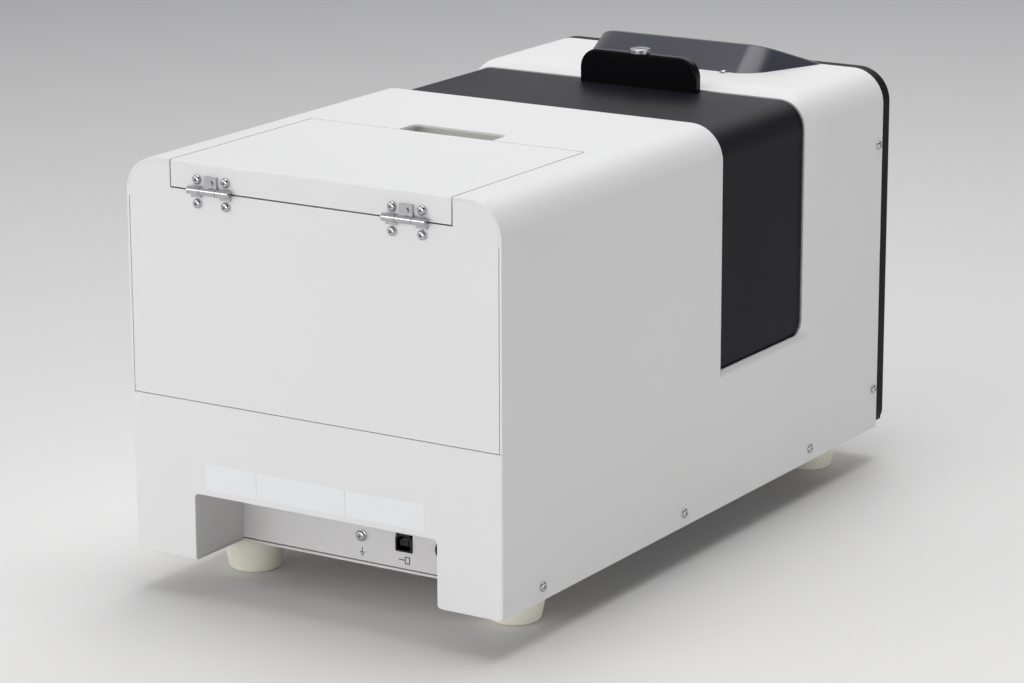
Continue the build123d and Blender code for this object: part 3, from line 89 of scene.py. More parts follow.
def aim_camera():
    """A long lens from behind and to the left, a little above the roof."""
    place = (-1.2202, 1.9867, 0.7298)
    turn = (75.262, 0.163, -147.861)
    bpy.ops.object.camera_add(location=place, rotation=[math.radians(t) for t in turn])
    camera = bpy.context.object
    camera.data.sensor_width = 36
    camera.data.lens = 127.7
    camera.data.clip_end = 30
    bpy.context.scene.camera = camera


def soft_box(name, place, size, watts, spread=180):
    """A rectangular studio lamp turned towards the middle of the instrument; spread in degrees."""
    bpy.ops.object.light_add(type="AREA", location=place)
    lamp = bpy.context.object
    lamp.name = name
    lamp.data.shape = "RECTANGLE"
    lamp.data.size, lamp.data.size_y = size
    lamp.data.energy = watts
    lamp.data.spread = math.radians(spread)
    aim = Vector((0, 0, 0.15)) - Vector(place)
    lamp.rotation_euler = aim.to_track_quat("-Z", "Y").to_euler()


def light_studio():
    """Broad lamps overhead, to the camera's left and beyond the front, and two weak low ones with
    a narrow spread, on the rear and on the side at the camera's right."""
    soft_box("overhead_lamp", (-0.1, -0.2, 2.7), (1.8, 1.8), 37)
    soft_box("left_lamp", (2.3, 2.8, 1.3), (2.2, 1.6), 22)
    soft_box("low_lamp", (0.3, 3.4, 0.3), (2.6, 0.6), 4.0, spread=60)
    soft_box("side_lamp", (-2.9, -0.1, 0.4), (1.6, 0.7), 1.9, spread=60)
    soft_box("back_lamp", (0.6, -2.4, 2.4), (2.6, 2.4), 19)


def light_room():
    """The room's own light: pale all round near the floor, darker higher up on the -X side."""
    world = bpy.data.worlds.new("studio_room")
    bpy.context.scene.world = world
    world.use_nodes = True
    where = node(world, "ShaderNodeTexCoord").outputs["Generated"]
    side = node(
        world, "ShaderNodeVectorMath", {0: where, 1: (-1, 0, 0)}, operation="DOT_PRODUCT"
    )
    height = node(world, "ShaderNodeSeparateXYZ", {"Vector": where})
    rise = node(
        world, "ShaderNodeMapRange",
        {"Value": height.outputs["Z"], "From Min": 0.06, "From Max": 0.30},
        interpolation_type="SMOOTHSTEP",
    )
    both = node(
        world, "ShaderNodeMath", {0: side.outputs["Value"], 1: rise.outputs["Result"]},
        operation="MULTIPLY",
    )
    strength = node(
        world, "ShaderNodeMapRange",
        {
            "Value": both.outputs["Value"], "From Min": -0.2, "From Max": 0.75,
            "To Min": 0.66, "To Max": 0.03,
        },
        interpolation_type="SMOOTHSTEP",
    )
    room = world.node_tree.nodes["Background"]
    room.inputs["Color"].default_value = (0.80, 0.80, 0.81, 1)
    world.node_tree.links.new(strength.outputs["Result"], room.inputs["Strength"])


# ---------------------------------------------------------------- materials


def srgb(hex_colour, alpha=1.0):
    """A colour written as sRGB hex, in the linear values that the shader takes."""
    parts = [int(hex_colour[i:i + 2], 16) / 255 for i in (1, 3, 5)]
    linear = [c / 12.92 if c <= 0.04045 else ((c + 0.055) / 1.055) ** 2.4 for c in parts]
    return (*linear, alpha)


def new_material(name):
    """An empty material; its output waits for a shader."""
    material = bpy.data.materials.new(name)
    material.use_nodes = True
    material.node_tree.nodes.clear()
    return material


def node(owner, kind, inputs=None, **settings):
    """Adds a node with its settings to a material or the world; an input is a value or the output
    of another node."""
    made = owner.node_tree.nodes.new(kind)
    for name, value in settings.items():
        setattr(made, name, value)
    for socket, value in (inputs or {}).items():
        if isinstance(value, bpy.types.NodeSocket):
            owner.node_tree.links.new(value, made.inputs[socket])
        else:
            made.inputs[socket].default_value = value
    return made


def per_metre(millimetres):
    """Texture scale at which one feature is this many millimetres across."""
    return 1 / (millimetres * MM)


def powder_coated_steel(name, colour, shade):
    """Polyester powder coat on sheet steel: pale, satin, with a fine orange peel."""
    material = new_material(name)
    where = node(material, "ShaderNodeTexCoord").outputs["Object"]
    cloud = node(
        material, "ShaderNodeTexNoise", {"Vector": where, "Scale": per_metre(160), "Detail": 2}
    )
    tone = node(
        material, "ShaderNodeMix",
        {"Factor": cloud.outputs["Fac"], "A": srgb(colour), "B": srgb(shade)}, data_type="RGBA",
    )
    # real orange peel is about 0.8 mm across, drawn at 1.6 mm so that it shows
    peel = node(
        material, "ShaderNodeTexNoise", {"Vector": where, "Scale": per_metre(1.6), "Detail": 3}
    )
    bump = node(
        material, "ShaderNodeBump",
        {"Height": peel.outputs["Fac"], "Strength": 0.06, "Distance": 0.1 * MM},
    )
    gloss = node(
        material, "ShaderNodeMapRange",
        {"Value": peel.outputs["Fac"], "To Min": 0.42, "To Max": 0.52},
    )
    skin = node(
        material, "ShaderNodeBsdfPrincipled",
        {
            "Base Color": tone.outputs["Result"], "Roughness": gloss.outputs["Result"],
            "IOR": 1.5, "Normal": bump.outputs["Normal"],
        },
    )
    node(material, "ShaderNodeOutputMaterial", {"Surface": skin.outputs["BSDF"]})
    return material


def moulded_plastic(name, colour, shade, roughness, grain, gleam=0.5):
    """Spark eroded mould finish: an even fine grain that scatters the light softly."""
    material = new_material(name)
    where = node(material, "ShaderNodeTexCoord").outputs["Object"]
    pits = node(material, "ShaderNodeTexVoronoi", {"Vector": where, "Scale": per_metre(grain)})
    cloud = node(
        material, "ShaderNodeTexNoise", {"Vector": where, "Scale": per_metre(60), "Detail": 3}
    )
    tone = node(
        material, "ShaderNodeMix",
        {"Factor": cloud.outputs["Fac"], "A": srgb(colour), "B": srgb(shade)}, data_type="RGBA",
    )
    gloss = node(
        material, "ShaderNodeMapRange",
        {"Value": cloud.outputs["Fac"], "To Min": roughness - 0.04, "To Max": roughness + 0.06},
    )
    bump = node(
        material, "ShaderNodeBump",
        {"Height": pits.outputs["Distance"], "Strength": 0.12, "Distance": 0.1 * MM},
    )
    skin = node(
        material, "ShaderNodeBsdfPrincipled",
        {
            "Base Color": tone.outputs["Result"], "Roughness": gloss.outputs["Result"],
            "IOR": 1.52, "Specular IOR Level": gleam, "Normal": bump.outputs["Normal"],
        },
    )
    node(material, "ShaderNodeOutputMaterial", {"Surface": skin.outputs["BSDF"]})
    return material


def painted_gap_shadow(material, edge, width):
    """Painted shadow: a black band along the front edge of a moulding, this many millimetres wide,
    in place of the shadow in the gap beside it.
    """
    skin = material.node_tree.nodes["Principled BSDF"].inputs["Base Color"]
    plain = skin.links[0].from_socket
    where = node(material, "ShaderNodeTexCoord").outputs["Object"]
    depth = node(material, "ShaderNodeSeparateXYZ", {"Vector": where}).outputs["Y"]
    past = node(
        material, "ShaderNodeMapRange",
        {
            "Value": depth, "From Min": (edge + 0.6 * width) * MM,
            "From Max": (edge + 1.4 * width) * MM,
        },
    )
    # painted shadow: near-black over the band at the moulding's front edge, the plain colour beyond
    # it
    tone = node(
        material, "ShaderNodeMix",
        {"Factor": past.outputs["Result"], "A": srgb("#030304"), "B": plain}, data_type="RGBA",
    )
    material.node_tree.links.new(tone.outputs["Result"], skin)


def matt_elastomer(name, colour, shade):
    """Rubber, silicone or a sprayed white lining: dull and slightly mottled."""
    material = new_material(name)
    where = node(material, "ShaderNodeTexCoord").outputs["Object"]
    mottle = node(
        material, "ShaderNodeTexNoise", {"Vector": where, "Scale": per_metre(9), "Detail": 5}
    )
    tone = node(
        material, "ShaderNodeMix",
        {"Factor": mottle.outputs["Fac"], "A": srgb(colour), "B": srgb(shade)}, data_type="RGBA",
    )
    bump = node(
        material, "ShaderNodeBump",
        {"Height": mottle.outputs["Fac"], "Strength": 0.15, "Distance": 0.2 * MM},
    )
    skin = node(
        material, "ShaderNodeBsdfPrincipled",
        {
            "Base Color": tone.outputs["Result"], "Roughness": 0.72, "IOR": 1.5,
            "Normal": bump.outputs["Normal"],
        },
    )
    node(material, "ShaderNodeOutputMaterial", {"Surface": skin.outputs["BSDF"]})
    return material


def bare_metal(name, colour, dark, roughness, grain, stretch=(1, 1, 1)):
    """Bare or plated metal with fine tool marks, drawn out along one axis where it was rolled."""
    material = new_material(name)
    where = node(material, "ShaderNodeTexCoord").outputs["Object"]
    drawn = node(material, "ShaderNodeMapping", {"Vector": where, "Scale": stretch})
    marks = node(
        material, "ShaderNodeTexNoise",
        {"Vector": drawn.outputs["Vector"], "Scale": per_metre(grain), "Detail": 4},
    )
    tone = node(
        material, "ShaderNodeMix",
        {"Factor": marks.outputs["Fac"], "A": srgb(colour), "B": srgb(dark)}, data_type="RGBA",
    )
    gloss = node(
        material, "ShaderNodeMapRange",
        {"Value": marks.outputs["Fac"], "To Min": roughness - 0.06, "To Max": roughness + 0.08},
    )
    bump = node(
        material, "ShaderNodeBump",
        {"Height": marks.outputs["Fac"], "Strength": 0.08, "Distance": 0.05 * MM},
    )
    skin = node(
        material, "ShaderNodeBsdfPrincipled",
        {
            "Base Color": tone.outputs["Result"], "Metallic": 1.0,
            "Roughness": gloss.outputs["Result"], "Normal": bump.outputs["Normal"],
        },
    )
    node(material, "ShaderNodeOutputMaterial", {"Surface": skin.outputs["BSDF"]})
    return material


def glossy_skin(name, colour, shade, roughness):
    """Glaze, lamp lens or label film: smooth and clear over a faint cloud."""
    material = new_material(name)
    where = node(material, "ShaderNodeTexCoord").outputs["Object"]
    cloud = node(
        material, "ShaderNodeTexNoise", {"Vector": where, "Scale": per_metre(20), "Detail": 2}
    )
    tone = node(
        material, "ShaderNodeMix",
        {"Factor": cloud.outputs["Fac"], "A": srgb(colour), "B": srgb(shade)}, data_type="RGBA",
    )
    gloss = node(
        material, "ShaderNodeMapRange",
        {"Value": cloud.outputs["Fac"], "To Min": roughness, "To Max": roughness + 0.05},
    )
    skin = node(
        material, "ShaderNodeBsdfPrincipled",
        {"Base Color": tone.outputs["Result"], "Roughness": gloss.outputs["Result"], "IOR": 1.5},
    )
    node(material, "ShaderNodeOutputMaterial", {"Surface": skin.outputs["BSDF"]})
    return material


def clear_glass(name, colour):
    """Polished optical glass or quartz."""
    material = new_material(name)
    where = node(material, "ShaderNodeTexCoord").outputs["Object"]
    haze = node(
        material, "ShaderNodeTexNoise", {"Vector": where, "Scale": per_metre(12), "Detail": 2}
    )
    gloss = node(
        material, "ShaderNodeMapRange",
        {"Value": haze.outputs["Fac"], "To Min": 0.01, "To Max": 0.05},
    )
    skin = node(
        material, "ShaderNodeBsdfPrincipled",
        {
            "Base Color": srgb(colour), "Roughness": gloss.outputs["Result"], "IOR": 1.52,
            "Transmission Weight": 1.0,
        },
    )
    node(material, "ShaderNodeOutputMaterial", {"Surface": skin.outputs["BSDF"]})
    return material


def solder_mask(name, mask, track):
    """Green lacquer on a circuit board, a little lighter over its copper tracks."""
    material = new_material(name)
    where = node(material, "ShaderNodeTexCoord").outputs["Object"]
    tracks = node(
        material, "ShaderNodeTexBrick",
        {
            "Vector": where, "Scale": per_metre(6), "Color1": srgb(mask), "Color2": srgb(mask),
            "Mortar": srgb(track), "Mortar Size": 0.05,
        },
    )
    skin = node(
        material, "ShaderNodeBsdfPrincipled",
        {"Base Color": tracks.outputs["Color"], "Roughness": 0.32, "IOR": 1.5},
    )
    node(material, "ShaderNodeOutputMaterial", {"Surface": skin.outputs["BSDF"]})
    return material


def paper_with_painted_shade(name, near, far):
    """Matt background paper with painted shade: a little darker far behind the instrument, where
    less lamp light falls.
    """
    material = new_material(name)
    where = node(material, "ShaderNodeTexCoord").outputs["Object"]
    # distance along the view, from the instrument away
    along = node(
        material, "ShaderNodeVectorMath", {0: where, 1: (0.532, -0.847, 0)}, operation="DOT_PRODUCT"
    )
    rise = node(
        material, "ShaderNodeMapRange",
        {"Value": along.outputs["Value"], "From Min": -0.3, "From Max": 2.2},
    )
    # painted shade: the paper's colour darkens from near to far, away from the instrument
    tone = node(
        material, "ShaderNodeMix",
        {"Factor": rise.outputs["Result"], "A": srgb(near), "B": srgb(far)}, data_type="RGBA",
    )
    skin = node(
        material, "ShaderNodeBsdfPrincipled",
        {"Base Color": tone.outputs["Result"], "Roughness": 0.55, "Specular IOR Level": 0.3},
    )
    node(material, "ShaderNodeOutputMaterial", {"Surface": skin.outputs["BSDF"]})
    return material


# a name and one or two colours; then, for some, roughness, grain in millimetres, gleam or stretch
case_paint = powder_coated_steel("powder_coat_light_grey", "#E7E7E7", "#E2E2E2")
bay_paint = powder_coated_steel("powder_coat_light_grey_inside", "#DCDBDB", "#D6D5D5")
chassis_paint = powder_coated_steel("powder_coat_black", "#1C1C1E", "#232325")
sphere_coat = matt_elastomer("barium_white_coating", "#F2F2EF", "#EDEDE9")
cover_abs = moulded_plastic("abs_charcoal_grained", "#17161E", "#1A1921", 0.44, 0.7, 0.09)
# painted shadow along the cover's front edge, where it meets the shell's lip
painted_gap_shadow(cover_abs, edge=low("chamber_cover").y, width=4.5)
liner_abs = moulded_plastic("abs_black_grained", "#0A0A0B", "#0D0D0E", 0.60, 0.7, 0.2)
case_abs = moulded_plastic("abs_black_satin", "#19191B", "#1E1E20", 0.42, 0.7)
tray_abs = moulded_plastic("abs_light_grey_moulded", "#DAD9D6", "#D5D4D1", 0.50, 0.7)
tab_abs = moulded_plastic("abs_black_polished", "#050407", "#070609", 0.22, 0.4, 0.1)
hood_abs = moulded_plastic("abs_slate_satin", "#403F4A", "#43424D", 0.25, 0.4, 0.45)
panel_abs = moulded_plastic("abs_graphite_grained", "#0C0C0E", "#0F0F11", 0.50, 0.7, 0.1)
socket_pa = moulded_plastic("polyamide_black", "#09090A", "#0D0D0E", 0.38, 0.4, 0.3)
feet_rubber = matt_elastomer("rubber_cream", "#F2EFE2", "#EDE9DA")
pad_facing = matt_elastomer("silicone_white", "#E4E3DE", "#DEDDD7")
nickel = bare_metal("nickel_plated_steel", "#D2D2D4", "#A9A9AD", 0.12, 1.2)
zinc_sheet = bare_metal("zinc_plated_sheet", "#C9CBCD", "#B3B6B9", 0.34, 2.0, (1, 0.1, 1))
turned_steel = bare_metal("turned_stainless_steel", "#CBCBCC", "#B5B5B7", 0.16, 0.8)
satin_aluminium = bare_metal("anodised_aluminium_satin", "#C2C3C6", "#B4B5B9", 0.36, 0.8)
black_aluminium = bare_metal("anodised_aluminium_black", "#202022", "#2A2A2C", 0.48, 0.8)
capacitor_sleeve = moulded_plastic("pvc_sleeve_blue", "#1B2448", "#20294F", 0.30, 1.5)
white_glaze = glossy_skin("opal_glaze", "#F1F1EE", "#ECECE8", 0.10)
lamp_lens = glossy_skin("acrylic_green", "#3FA968", "#379B5E", 0.12)
film_white = glossy_skin("polyester_film_white", "#EBEDEE", "#E7E9EA", 0.35)
print_ink = moulded_plastic("printing_ink_charcoal", "#2A2A2E", "#313136", 0.60, 0.4)
contact_grey = moulded_plastic("polyester_grey_moulded", "#6E6E72", "#77777B", 0.50, 0.4)
lens_glass = clear_glass("crown_glass", "#F4FAFF")
board_green = solder_mask("solder_mask_green", "#12452A", "#1B5B38")

finishes = {
    case_paint: ("outer_shell", "lid_panel", "upper_rear_panel", "lower_rear_panel"),
    bay_paint: ("connector_panel", "base_plate"),
    chassis_paint: ("left_frame", "right_frame", "chamber_floor", "rear_bulkhead", "front_bulkhead"),
    sphere_coat: ("sphere_front_half", "sphere_rear_half"),
    cover_abs: ("chamber_cover",),
    liner_abs: ("cover_liner", "cover_guides"),
    case_abs: ("tile_case",),
    tray_abs: ("accessory_tray",),
    tab_abs: ("pull_tab",),
    hood_abs: ("viewer_hood",),
    panel_abs: ("front_panel",),
    socket_pa: ("usb_socket", "power_inlet", "switch_body", "power_rocker"),
    feet_rubber: ("feet",),
    pad_facing: ("sample_pad",),
    nickel: (
        "lid_hinge_leaves", "body_hinge_leaves", "hinge_pins", "lid_hinge_screws", "earth_terminal",
        "body_hinge_screws", "tab_screws", "side_screws", "hood_screws", "foot_screws",
    ),
    zinc_sheet: ("base_rails", "optics_bench", "lamp_housing", "holder_bracket"),
    turned_steel: ("lock_knob", "holder_pin", "pad_plunger"),
    satin_aluminium: ("port_ring", "holder_arm"),
    black_aluminium: (
        "target_mask", "spare_masks", "zero_box", "lens_barrel", "chamber_port",
        "spectrometer_housing", "spectrometer_cover",
    ),
    capacitor_sleeve: ("flash_capacitors",),
    white_glaze: ("calibration_tile",),
    lens_glass: ("receiving_lens", "flash_tube"),
    lamp_lens: ("status_lamp",),
    board_green: ("main_board", "power_board"),
}
for material, names in finishes.items():
    for name in names:
        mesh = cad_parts[name].data
        mesh.materials.clear()
        mesh.materials.append(material)


# ---------------------------------------------------------------- modelling helpers


def open_edit(piece):
    """Makes the piece the only selected object and enters edit mode with nothing selected."""
    bpy.ops.object.select_all(action="DESELECT")
    piece.select_set(True)
    bpy.context.view_layer.objects.active = piece
    bpy.ops.object.mode_set(mode="EDIT")
    bpy.ops.mesh.select_mode(type="FACE")
    bpy.ops.mesh.select_all(action="DESELECT")


def close_edit():
    """Leaves edit mode."""
    bpy.ops.object.mode_set(mode="OBJECT")


def pick_faces(piece, wanted):
    """In edit mode, selects only the faces whose middle and normal pass the test."""
    bpy.ops.mesh.select_all(action="DESELECT")
    bpy.ops.mesh.select_mode(type="FACE")
    mesh = bmesh.from_edit_mesh(piece.data)
    for face in mesh.faces:
        face.select_set(bool(wanted(face.calc_center_median(), face.normal)))
    bmesh.update_edit_mesh(piece.data)


def pick_edges(piece, wanted):
    """In edit mode, selects only the edges whose two ends pass the test."""
    bpy.ops.mesh.select_all(action="DESELECT")
    bpy.ops.mesh.select_mode(type="EDGE")
    mesh = bmesh.from_edit_mesh(piece.data)
    for edge in mesh.edges:
        edge.select_set(bool(wanted(edge.verts[0].co, edge.verts[1].co)))
    bmesh.update_edit_mesh(piece.data)


def settle(piece, angle=35):
    """Puts the piece's place into its mesh and shades its round faces smooth."""
    bpy.ops.object.select_all(action="DESELECT")
    piece.select_set(True)
    bpy.context.view_layer.objects.active = piece
    bpy.ops.object.transform_apply(location=True, rotation=True, scale=True)
    bpy.ops.object.shade_smooth_by_angle(angle=math.radians(angle))


def disc(name, radius, thickness, sides=32):
    """A round blank in millimetres, standing on the origin."""
    bpy.ops.object.select_all(action="DESELECT")
    bpy.ops.mesh.primitive_cylinder_add(
        vertices=sides, radius=radius * MM, depth=thickness * MM, location=(0, 0, thickness * MM / 2)
    )
    blank = bpy.context.object
    blank.name = name
    bpy.ops.object.transform_apply(location=True, rotation=True, scale=True)
    return blank


def block(name, size, place, turn=0):
    """A rectangular blank in millimetres round a point, turned about the upright through it."""
    bpy.ops.object.select_all(action="DESELECT")
    bpy.ops.mesh.primitive_cube_add(size=1, location=[c * MM for c in place], rotation=(0, 0, turn))
    blank = bpy.context.object
    blank.name = name
    blank.scale = [c * MM for c in size]
    bpy.ops.object.transform_apply(location=True, rotation=True, scale=True)
    return blank


def cut_away(piece, cutter):
    """Takes the cutter's shape out of the piece, and removes the cutter."""
    sinking = piece.modifiers.new("recess", "BOOLEAN")
    sinking.operation = "DIFFERENCE"
    sinking.solver = "EXACT"
    sinking.object = cutter
    bpy.ops.object.select_all(action="DESELECT")
    piece.select_set(True)
    bpy.context.view_layer.objects.active = piece
    bpy.ops.object.modifier_apply(modifier=sinking.name)
    bpy.data.objects.remove(cutter)


def copies(piece, name, places):
    """Sets a copy of the piece at each place and turn, all joined into one mesh; drops the piece."""
    bpy.ops.object.select_all(action="DESELECT")
    twins = []
    for place, turn in places:
        twin = piece.copy()
        twin.data = piece.data.copy()
        bpy.context.collection.objects.link(twin)
        twin.location = Vector(place) * MM
        twin.rotation_euler = turn
        twin.select_set(True)
        twins.append(twin)
    bpy.data.objects.remove(piece)
    bpy.context.view_layer.objects.active = twins[0]
    bpy.ops.object.join()
    joined = bpy.context.object
    joined.name = name
    settle(joined)
    return joined


def screw(radius, height, shank, grip):
    """A round-headed screw along +Z, its head's underside at the origin, its shank below."""
    blank = disc("screw", radius, height)
    open_edit(blank)
    top = 0.9 * height * MM
    pick_edges(blank, lambda a, b: a.z > top and b.z > top)
    bpy.ops.mesh.bevel(offset=0.72 * height * MM, segments=6, profile=0.5)
    pick_faces(blank, lambda at, normal: normal.z < -0.9)
    bpy.ops.mesh.inset(thickness=(radius - shank) * MM)
    bpy.ops.mesh.extrude_region_move(TRANSFORM_OT_translate={"value": (0, 0, -grip * MM)})
    close_edit()
    return blank


def hex_socket(head, height, across, depth):
    """Sinks a six-sided socket into a screw head."""
    bpy.ops.object.select_all(action="DESELECT")
    bpy.ops.mesh.primitive_cylinder_add(
        vertices=6, radius=across * MM / math.sqrt(3), depth=2 * depth * MM,
        location=(0, 0, height * MM),
    )
    cut_away(head, bpy.context.object)


def cross_recess(head, height, span, width, depth):
    """Sinks a cross into a screw head with two tapered blades."""
    for turn in (0, math.pi / 2):
        blade = block("blade", (span, width, 2 * depth), (0, 0, height), turn)
        open_edit(blade)
        pick_faces(blade, lambda at, normal: normal.z < -0.9)
        bpy.ops.transform.resize(
            value=(0.45, 0.45, 1), center_override=(0, 0, (height - depth) * MM)
        )
        close_edit()
        cut_away(head, blade)


def film(name, corners, face, thickness, corner):
    """A thin plate lying on an upright face that looks to the rear; corners are (x, z) pairs."""
    (x_low, z_low), (x_high, z_high) = corners
    bpy.ops.object.select_all(action="DESELECT")
    bpy.ops.mesh.primitive_plane_add(
        size=1, rotation=TO_REAR,
        location=((x_low + x_high) * MM / 2, face * MM, (z_low + z_high) * MM / 2),
    )
    plate = bpy.context.object
    plate.name = name
    plate.scale = ((x_high - x_low) * MM, (z_high - z_low) * MM, 1)
    bpy.ops.object.transform_apply(location=True, rotation=True, scale=True)
    open_edit(plate)
    bpy.ops.mesh.select_mode(type="VERT")
    bpy.ops.mesh.select_all(action="SELECT")
    bpy.ops.mesh.bevel(offset=corner * MM, segments=4, affect="VERTICES")
    bpy.ops.mesh.select_all(action="SELECT")
    bpy.ops.mesh.extrude_region_move(TRANSFORM_OT_translate={"value": (0, thickness * MM, 0)})
    bpy.ops.mesh.select_all(action="SELECT")
    bpy.ops.mesh.normals_make_consistent(inside=False)
    close_edit()
    settle(plate)
    return plate


def join(pieces, name):
    """Joins finished pieces into one mesh."""
    bpy.ops.object.select_all(action="DESELECT")
    for piece in pieces:
        piece.select_set(True)
    bpy.context.view_layer.objects.active = pieces[0]
    bpy.ops.object.join()
    joined = bpy.context.object
    joined.name = name
    return joined


def dress(piece, material, body):
    """Gives a finished piece its material and the body that it moves with."""
    piece.data.materials.clear()
    piece.data.materials.append(material)
    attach(piece, body)


# ---------------------------------------------------------------- screws


def fit_screws(head, name, node_name, places, body="instrument"):
    """Sets nickel screws at their places, where they stand for the plain ones of a CAD node."""
    row = copies(head, name, places)
    dress(row, nickel, body)
    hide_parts(node_name)


def hinge_row(name, node_name, body):
    """One row of socket button heads over both hinges."""
    columns = [side * x for side in (-1, 1) for x in (60.25, 81.25)]
    height = middle(node_name).z
    button = screw(radius=3.1, height=2.4, shank=1.5, grip=3.2)
    hex_socket(button, height=2.4, across=2.0, depth=1.2)
    fit_screws(button, name, node_name, [((x, rear_face, height), TO_REAR) for x in columns], body)


hinge_row("lid_hinge_button_screws", "lid_hinge_screws", "lid")
hinge_row("body_hinge_button_screws", "body_hinge_screws", "instrument")

# pan heads along both sides of the case: three low down, two beside the front panel
side_spots = [
    (229.55, 35.0), (57.8, 35.0), (-113.95, 35.0), (-207.95, 54.3), (-207.95, 227.2),
]
side_pan = screw(radius=3.25, height=1.9, shank=1.7, grip=5.2)
cross_recess(side_pan, height=1.9, span=3.4, width=0.75, depth=1.1)
fit_screws(
    side_pan, "side_pan_screws", "side_screws",
    [((side_face, y, z), TO_RIGHT) for y, z in side_spots]
    + [((-side_face, y, z), TO_LEFT) for y, z in side_spots],
)

# two pan heads on the roof, just behind the viewer hood
hood_row = middle("hood_screws").y
roof_pan = screw(radius=2.7, height=2.0, shank=1.5, grip=3.2)
cross_recess(roof_pan, height=2.0, span=2.8, width=0.65, depth=1.0)
fit_screws(
    roof_pan, "hood_pan_screws", "hood_screws",
    [((x, hood_row, roof), UPWARDS) for x in (-46.3, 46.3)],
)

# earth terminal: a washer under a cross-headed screw
earth_x = middle("earth_terminal").x
washer_thickness = 1.2
earth_washer = disc("earth_washer", 3.7, washer_thickness)
open_edit(earth_washer)
pick_edges(earth_washer, lambda a, b: min(a.z, b.z) > 0.9 * washer_thickness * MM)
bpy.ops.mesh.bevel(offset=0.3 * MM, segments=2)
close_edit()
earth_head = screw(radius=3.4, height=1.9, shank=1.7, grip=3.6)
cross_recess(earth_head, height=1.9, span=4.0, width=0.8, depth=1.2)
washers = copies(earth_washer, "earth_washer", [((earth_x, socket_face, sockets_height), TO_REAR)])
screw_seat = socket_face + washer_thickness
earth = copies(earth_head, "earth_screw", [((earth_x, screw_seat, sockets_height), TO_REAR)])
earth = join([earth, washers], "earth_screw_and_washer")
dress(earth, nickel, "instrument")
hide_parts("earth_terminal")

# ---------------------------------------------------------------- feet and viewer hood

foot_spots = [(x, y) for x in (-97.8, 97.8) for y in (201.05, -183.95)]
counterbore_depth = 14


def mould_foot():
    """A rubber foot, wider at the top, with a counterbore for its screw from below."""
    height = high("feet").z
    bottom_radius, flare, rim_round = 16.4, 1.3, 2.2
    counterbore_radius, hole_radius = 6, 2.8
    foot = disc("foot", bottom_radius, height, sides=64)
    open_edit(foot)
    pick_faces(foot, lambda at, normal: normal.z > 0.9)
    bpy.ops.transform.resize(value=(flare, flare, 1), center_override=(0, 0, 0))
    pick_edges(foot, lambda a, b: max(a.z, b.z) < 0.1 * height * MM)
    bpy.ops.mesh.bevel(offset=rim_round * MM, segments=5)
    close_edit()
    counterbore = disc("counterbore", counterbore_radius, 2 * counterbore_depth, sides=48)
    counterbore.location.z = -counterbore_depth * MM
    cut_away(foot, counterbore)
    cut_away(foot, disc("screw_hole", hole_radius, 2 * height))
    return foot


def mould_hood():
    """The hood over the front panel: a hipped wedge whose rear corners are broadly rounded."""
    hood_low, hood_high = low("viewer_hood"), high("viewer_hood")
    rise, crest_setback = 16.8, 22.0
    crest_half_width, rear_half_width = 62.4, 64.6
    hip_round, crest_round = 12, 1.8
    crest_y = hood_high.y - crest_setback

    def at_rear(point):
        """True for a point on the hood's rear edge."""
        return point.y > (hood_high.y - 1) * MM

    def on_front_slope(point):
        """True for a point on the slope that runs down from the crest to the front panel."""
        fall = (roof + rise) * MM - point.z
        run = crest_y * MM - point.y
        return abs(fall * (crest_y - hood_low.y) / rise - run) < 0.02 * MM

    hood = block(
        "rounded_hood", (2 * hood_high.x, hood_high.y - hood_low.y, rise),
        (0, (hood_low.y + hood_high.y) / 2, roof + rise / 2),
    )
    open_edit(hood)
    # the top is drawn together into the crest
    pick_faces(hood, lambda at, normal: normal.z > 0.9)
    bpy.ops.transform.resize(
        value=(crest_half_width / hood_high.x, 0, 1), center_override=(0, crest_y * MM, 0)
    )
    bpy.ops.mesh.select_all(action="SELECT")
    bpy.ops.mesh.remove_doubles(threshold=0.01 * MM)
    # the rear edge is narrower than the front one
    pick_edges(hood, lambda a, b: at_rear(a) and at_rear(b))
    bpy.ops.transform.resize(value=(rear_half_width / hood_high.x, 1, 1), center_override=(0, 0, 0))
    # the hips that rise from the rear corners to the crest
    pick_edges(hood, lambda a, b: abs(a.z - b.z) > 10 * MM and (at_rear(a) or at_rear(b)))
    bpy.ops.mesh.bevel(offset=hip_round * MM, segments=12)
    pick_edges(
        hood,
        lambda a, b: on_front_slope(a) and on_front_slope(b) and max(a.z, b.z) > (roof + 1) * MM,
    )
    bpy.ops.mesh.bevel(offset=crest_round * MM, segments=4)
    close_edit()
    settle(hood, 30)
    return hood


feet = copies(mould_foot(), "moulded_feet", [((x, y, 0), UPWARDS) for x, y in foot_spots])
dress(feet, feet_rubber, "instrument")
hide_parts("feet")

hood = mould_hood()
dress(hood, hood_abs, "instrument")
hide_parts("viewer_hood")

# cross-headed screws in the counterbores of the feet
foot_pan = screw(radius=5.0, height=3.6, shank=2.5, grip=12.0)
cross_recess(foot_pan, height=3.6, span=5.6, width=1.1, depth=1.8)
fit_screws(
    foot_pan, "foot_pan_screws", "foot_screws",
    [((x, y, counterbore_depth), DOWNWARDS) for x, y in foot_spots],
)

# ---------------------------------------------------------------- rear labels and symbols

# three bare plates of label film in a row above the cable bay
plate_low, plate_high = 72.4, 89.0
plate_ends = {
    "left_plate": (42.6, 80.6), "middle_plate": (-23.3, 41.8), "right_plate": (-81.0, -24.1),
}
plates = [
    film(name, ((x_low, plate_low), (x_high, plate_high)), rear_face, thickness=0.15, corner=0.6)
    for name, (x_low, x_high) in plate_ends.items()
]
dress(join(plates, "label_plates"), film_white, "instrument")

line_width = 0.6


def stroke(x_low, x_high, z_low, z_high):
    """One printed bar on the connector panel."""
    corners = ((x_low, z_low), (x_high, z_high))
    return film("stroke", corners, socket_face, thickness=0.05, corner=0.08)


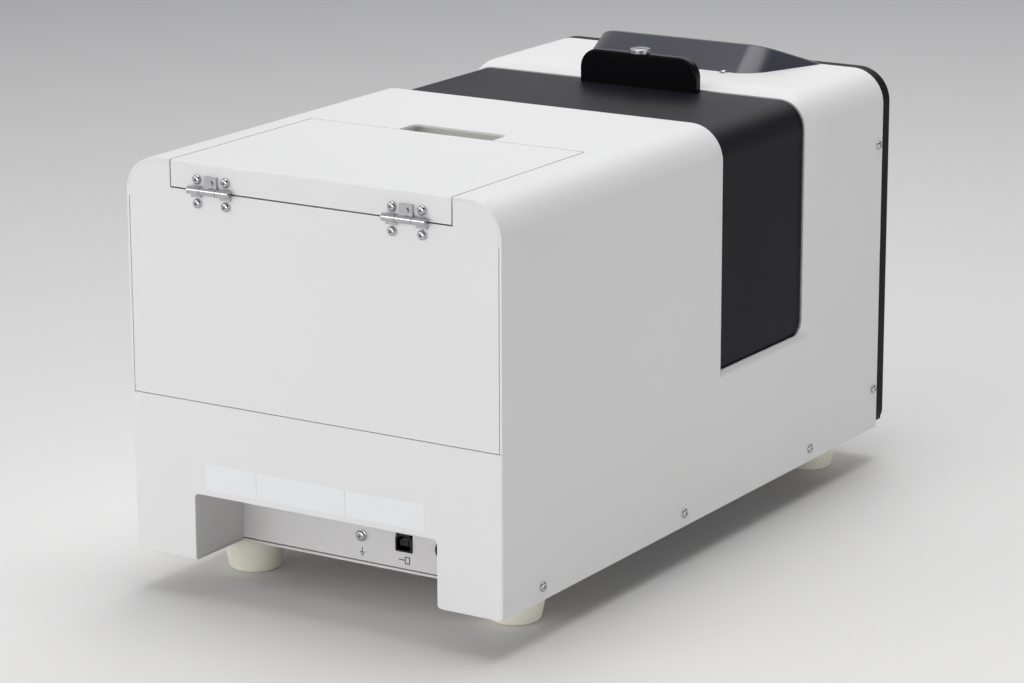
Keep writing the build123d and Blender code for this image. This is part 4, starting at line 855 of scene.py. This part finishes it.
# earth sign: a stem over three bars, each shorter than the one above
stem = stroke(earth_x - line_width / 2, earth_x + line_width / 2, 32.4, 35.4)
bars = [
    stroke(earth_x - half, earth_x + half, height, height + line_width)
    for half, height in ((1.8, 31.9), (1.2, 30.8), (0.6, 29.7))
]
earth_sign = join([stem, *bars], "earth_sign")
dress(earth_sign, print_ink, "instrument")

# data sign: a small plug outline with its lead, printed under the square socket
port_x = middle("usb_socket").x
plug_left, plug_right, lead_end = port_x - 4.2, port_x - 0.3, port_x + 4.2
data_sign = join(
    [
        stroke(plug_right, lead_end, 31.9, 32.5),
        stroke(plug_left, plug_right, 33.9, 34.5),
        stroke(plug_left, plug_right, 29.9, 30.5),
        stroke(plug_right - line_width, plug_right, 30.4, 34.0),
        stroke(plug_left, plug_left + line_width, 30.4, 34.0),
    ],
    "data_sign",
)
dress(data_sign, print_ink, "instrument")

# ---------------------------------------------------------------- socket tongue and plunger grip

# grey contact block over the socket's tongue, with a small step round its open end
contact_size, contact_setback, contact_step = (6.3, 11.6, 3.9), 6.9, 0.5
tongue = block(
    "socket_contact_block", contact_size, (port_x, socket_face - contact_setback, sockets_height)
)
open_edit(tongue)
pick_faces(tongue, lambda at, normal: normal.y > 0.9)
bpy.ops.mesh.inset(thickness=contact_step * MM)
bpy.ops.mesh.extrude_region_move(TRANSFORM_OT_translate={"value": (0, contact_step * MM, 0)})
bpy.ops.mesh.select_all(action="SELECT")
bpy.ops.mesh.bevel(offset=0.15 * MM, segments=2)
close_edit()
settle(tongue)
dress(tongue, contact_grey, "instrument")

# knurled grip over the plunger's pull knob
grip_radius, grip_length, grip_sides, ridge = 8.15, 6.4, 72, 0.3
grip_inset = 7.3
grip_start = low("pad_plunger").y + grip_inset
axis_z = middle("port_ring").z
grip = disc("knurled_grip", grip_radius, grip_length, sides=grip_sides)
open_edit(grip)
pick_faces(
    grip,
    lambda at, normal: abs(normal.z) < 0.1
    and round(math.atan2(normal.y, normal.x) / math.tau * grip_sides) % 2 == 0,
)
bpy.ops.mesh.extrude_region_shrink_fatten(TRANSFORM_OT_shrink_fatten={"value": ridge * MM})
close_edit()
grip = copies(grip, "knurled_grip", [((0, grip_start, axis_z), TO_FRONT)])
dress(grip, turned_steel, "pad")

# ---------------------------------------------------------------- floor, light and camera


def lay_floor():
    """A wide floor under the feet, its span in metres."""
    floor_span = 14
    bpy.ops.object.select_all(action="DESELECT")
    bpy.ops.mesh.primitive_plane_add(size=floor_span)
    floor = bpy.context.object
    floor.name = "floor"
    floor.data.materials.append(paper_with_painted_shade("matt_paper_painted_shade", "#E9E8E7", "#BABABC"))


lay_floor()
light_studio()
light_room()
aim_camera()
bpy.context.scene.view_settings.view_transform = "Standard"
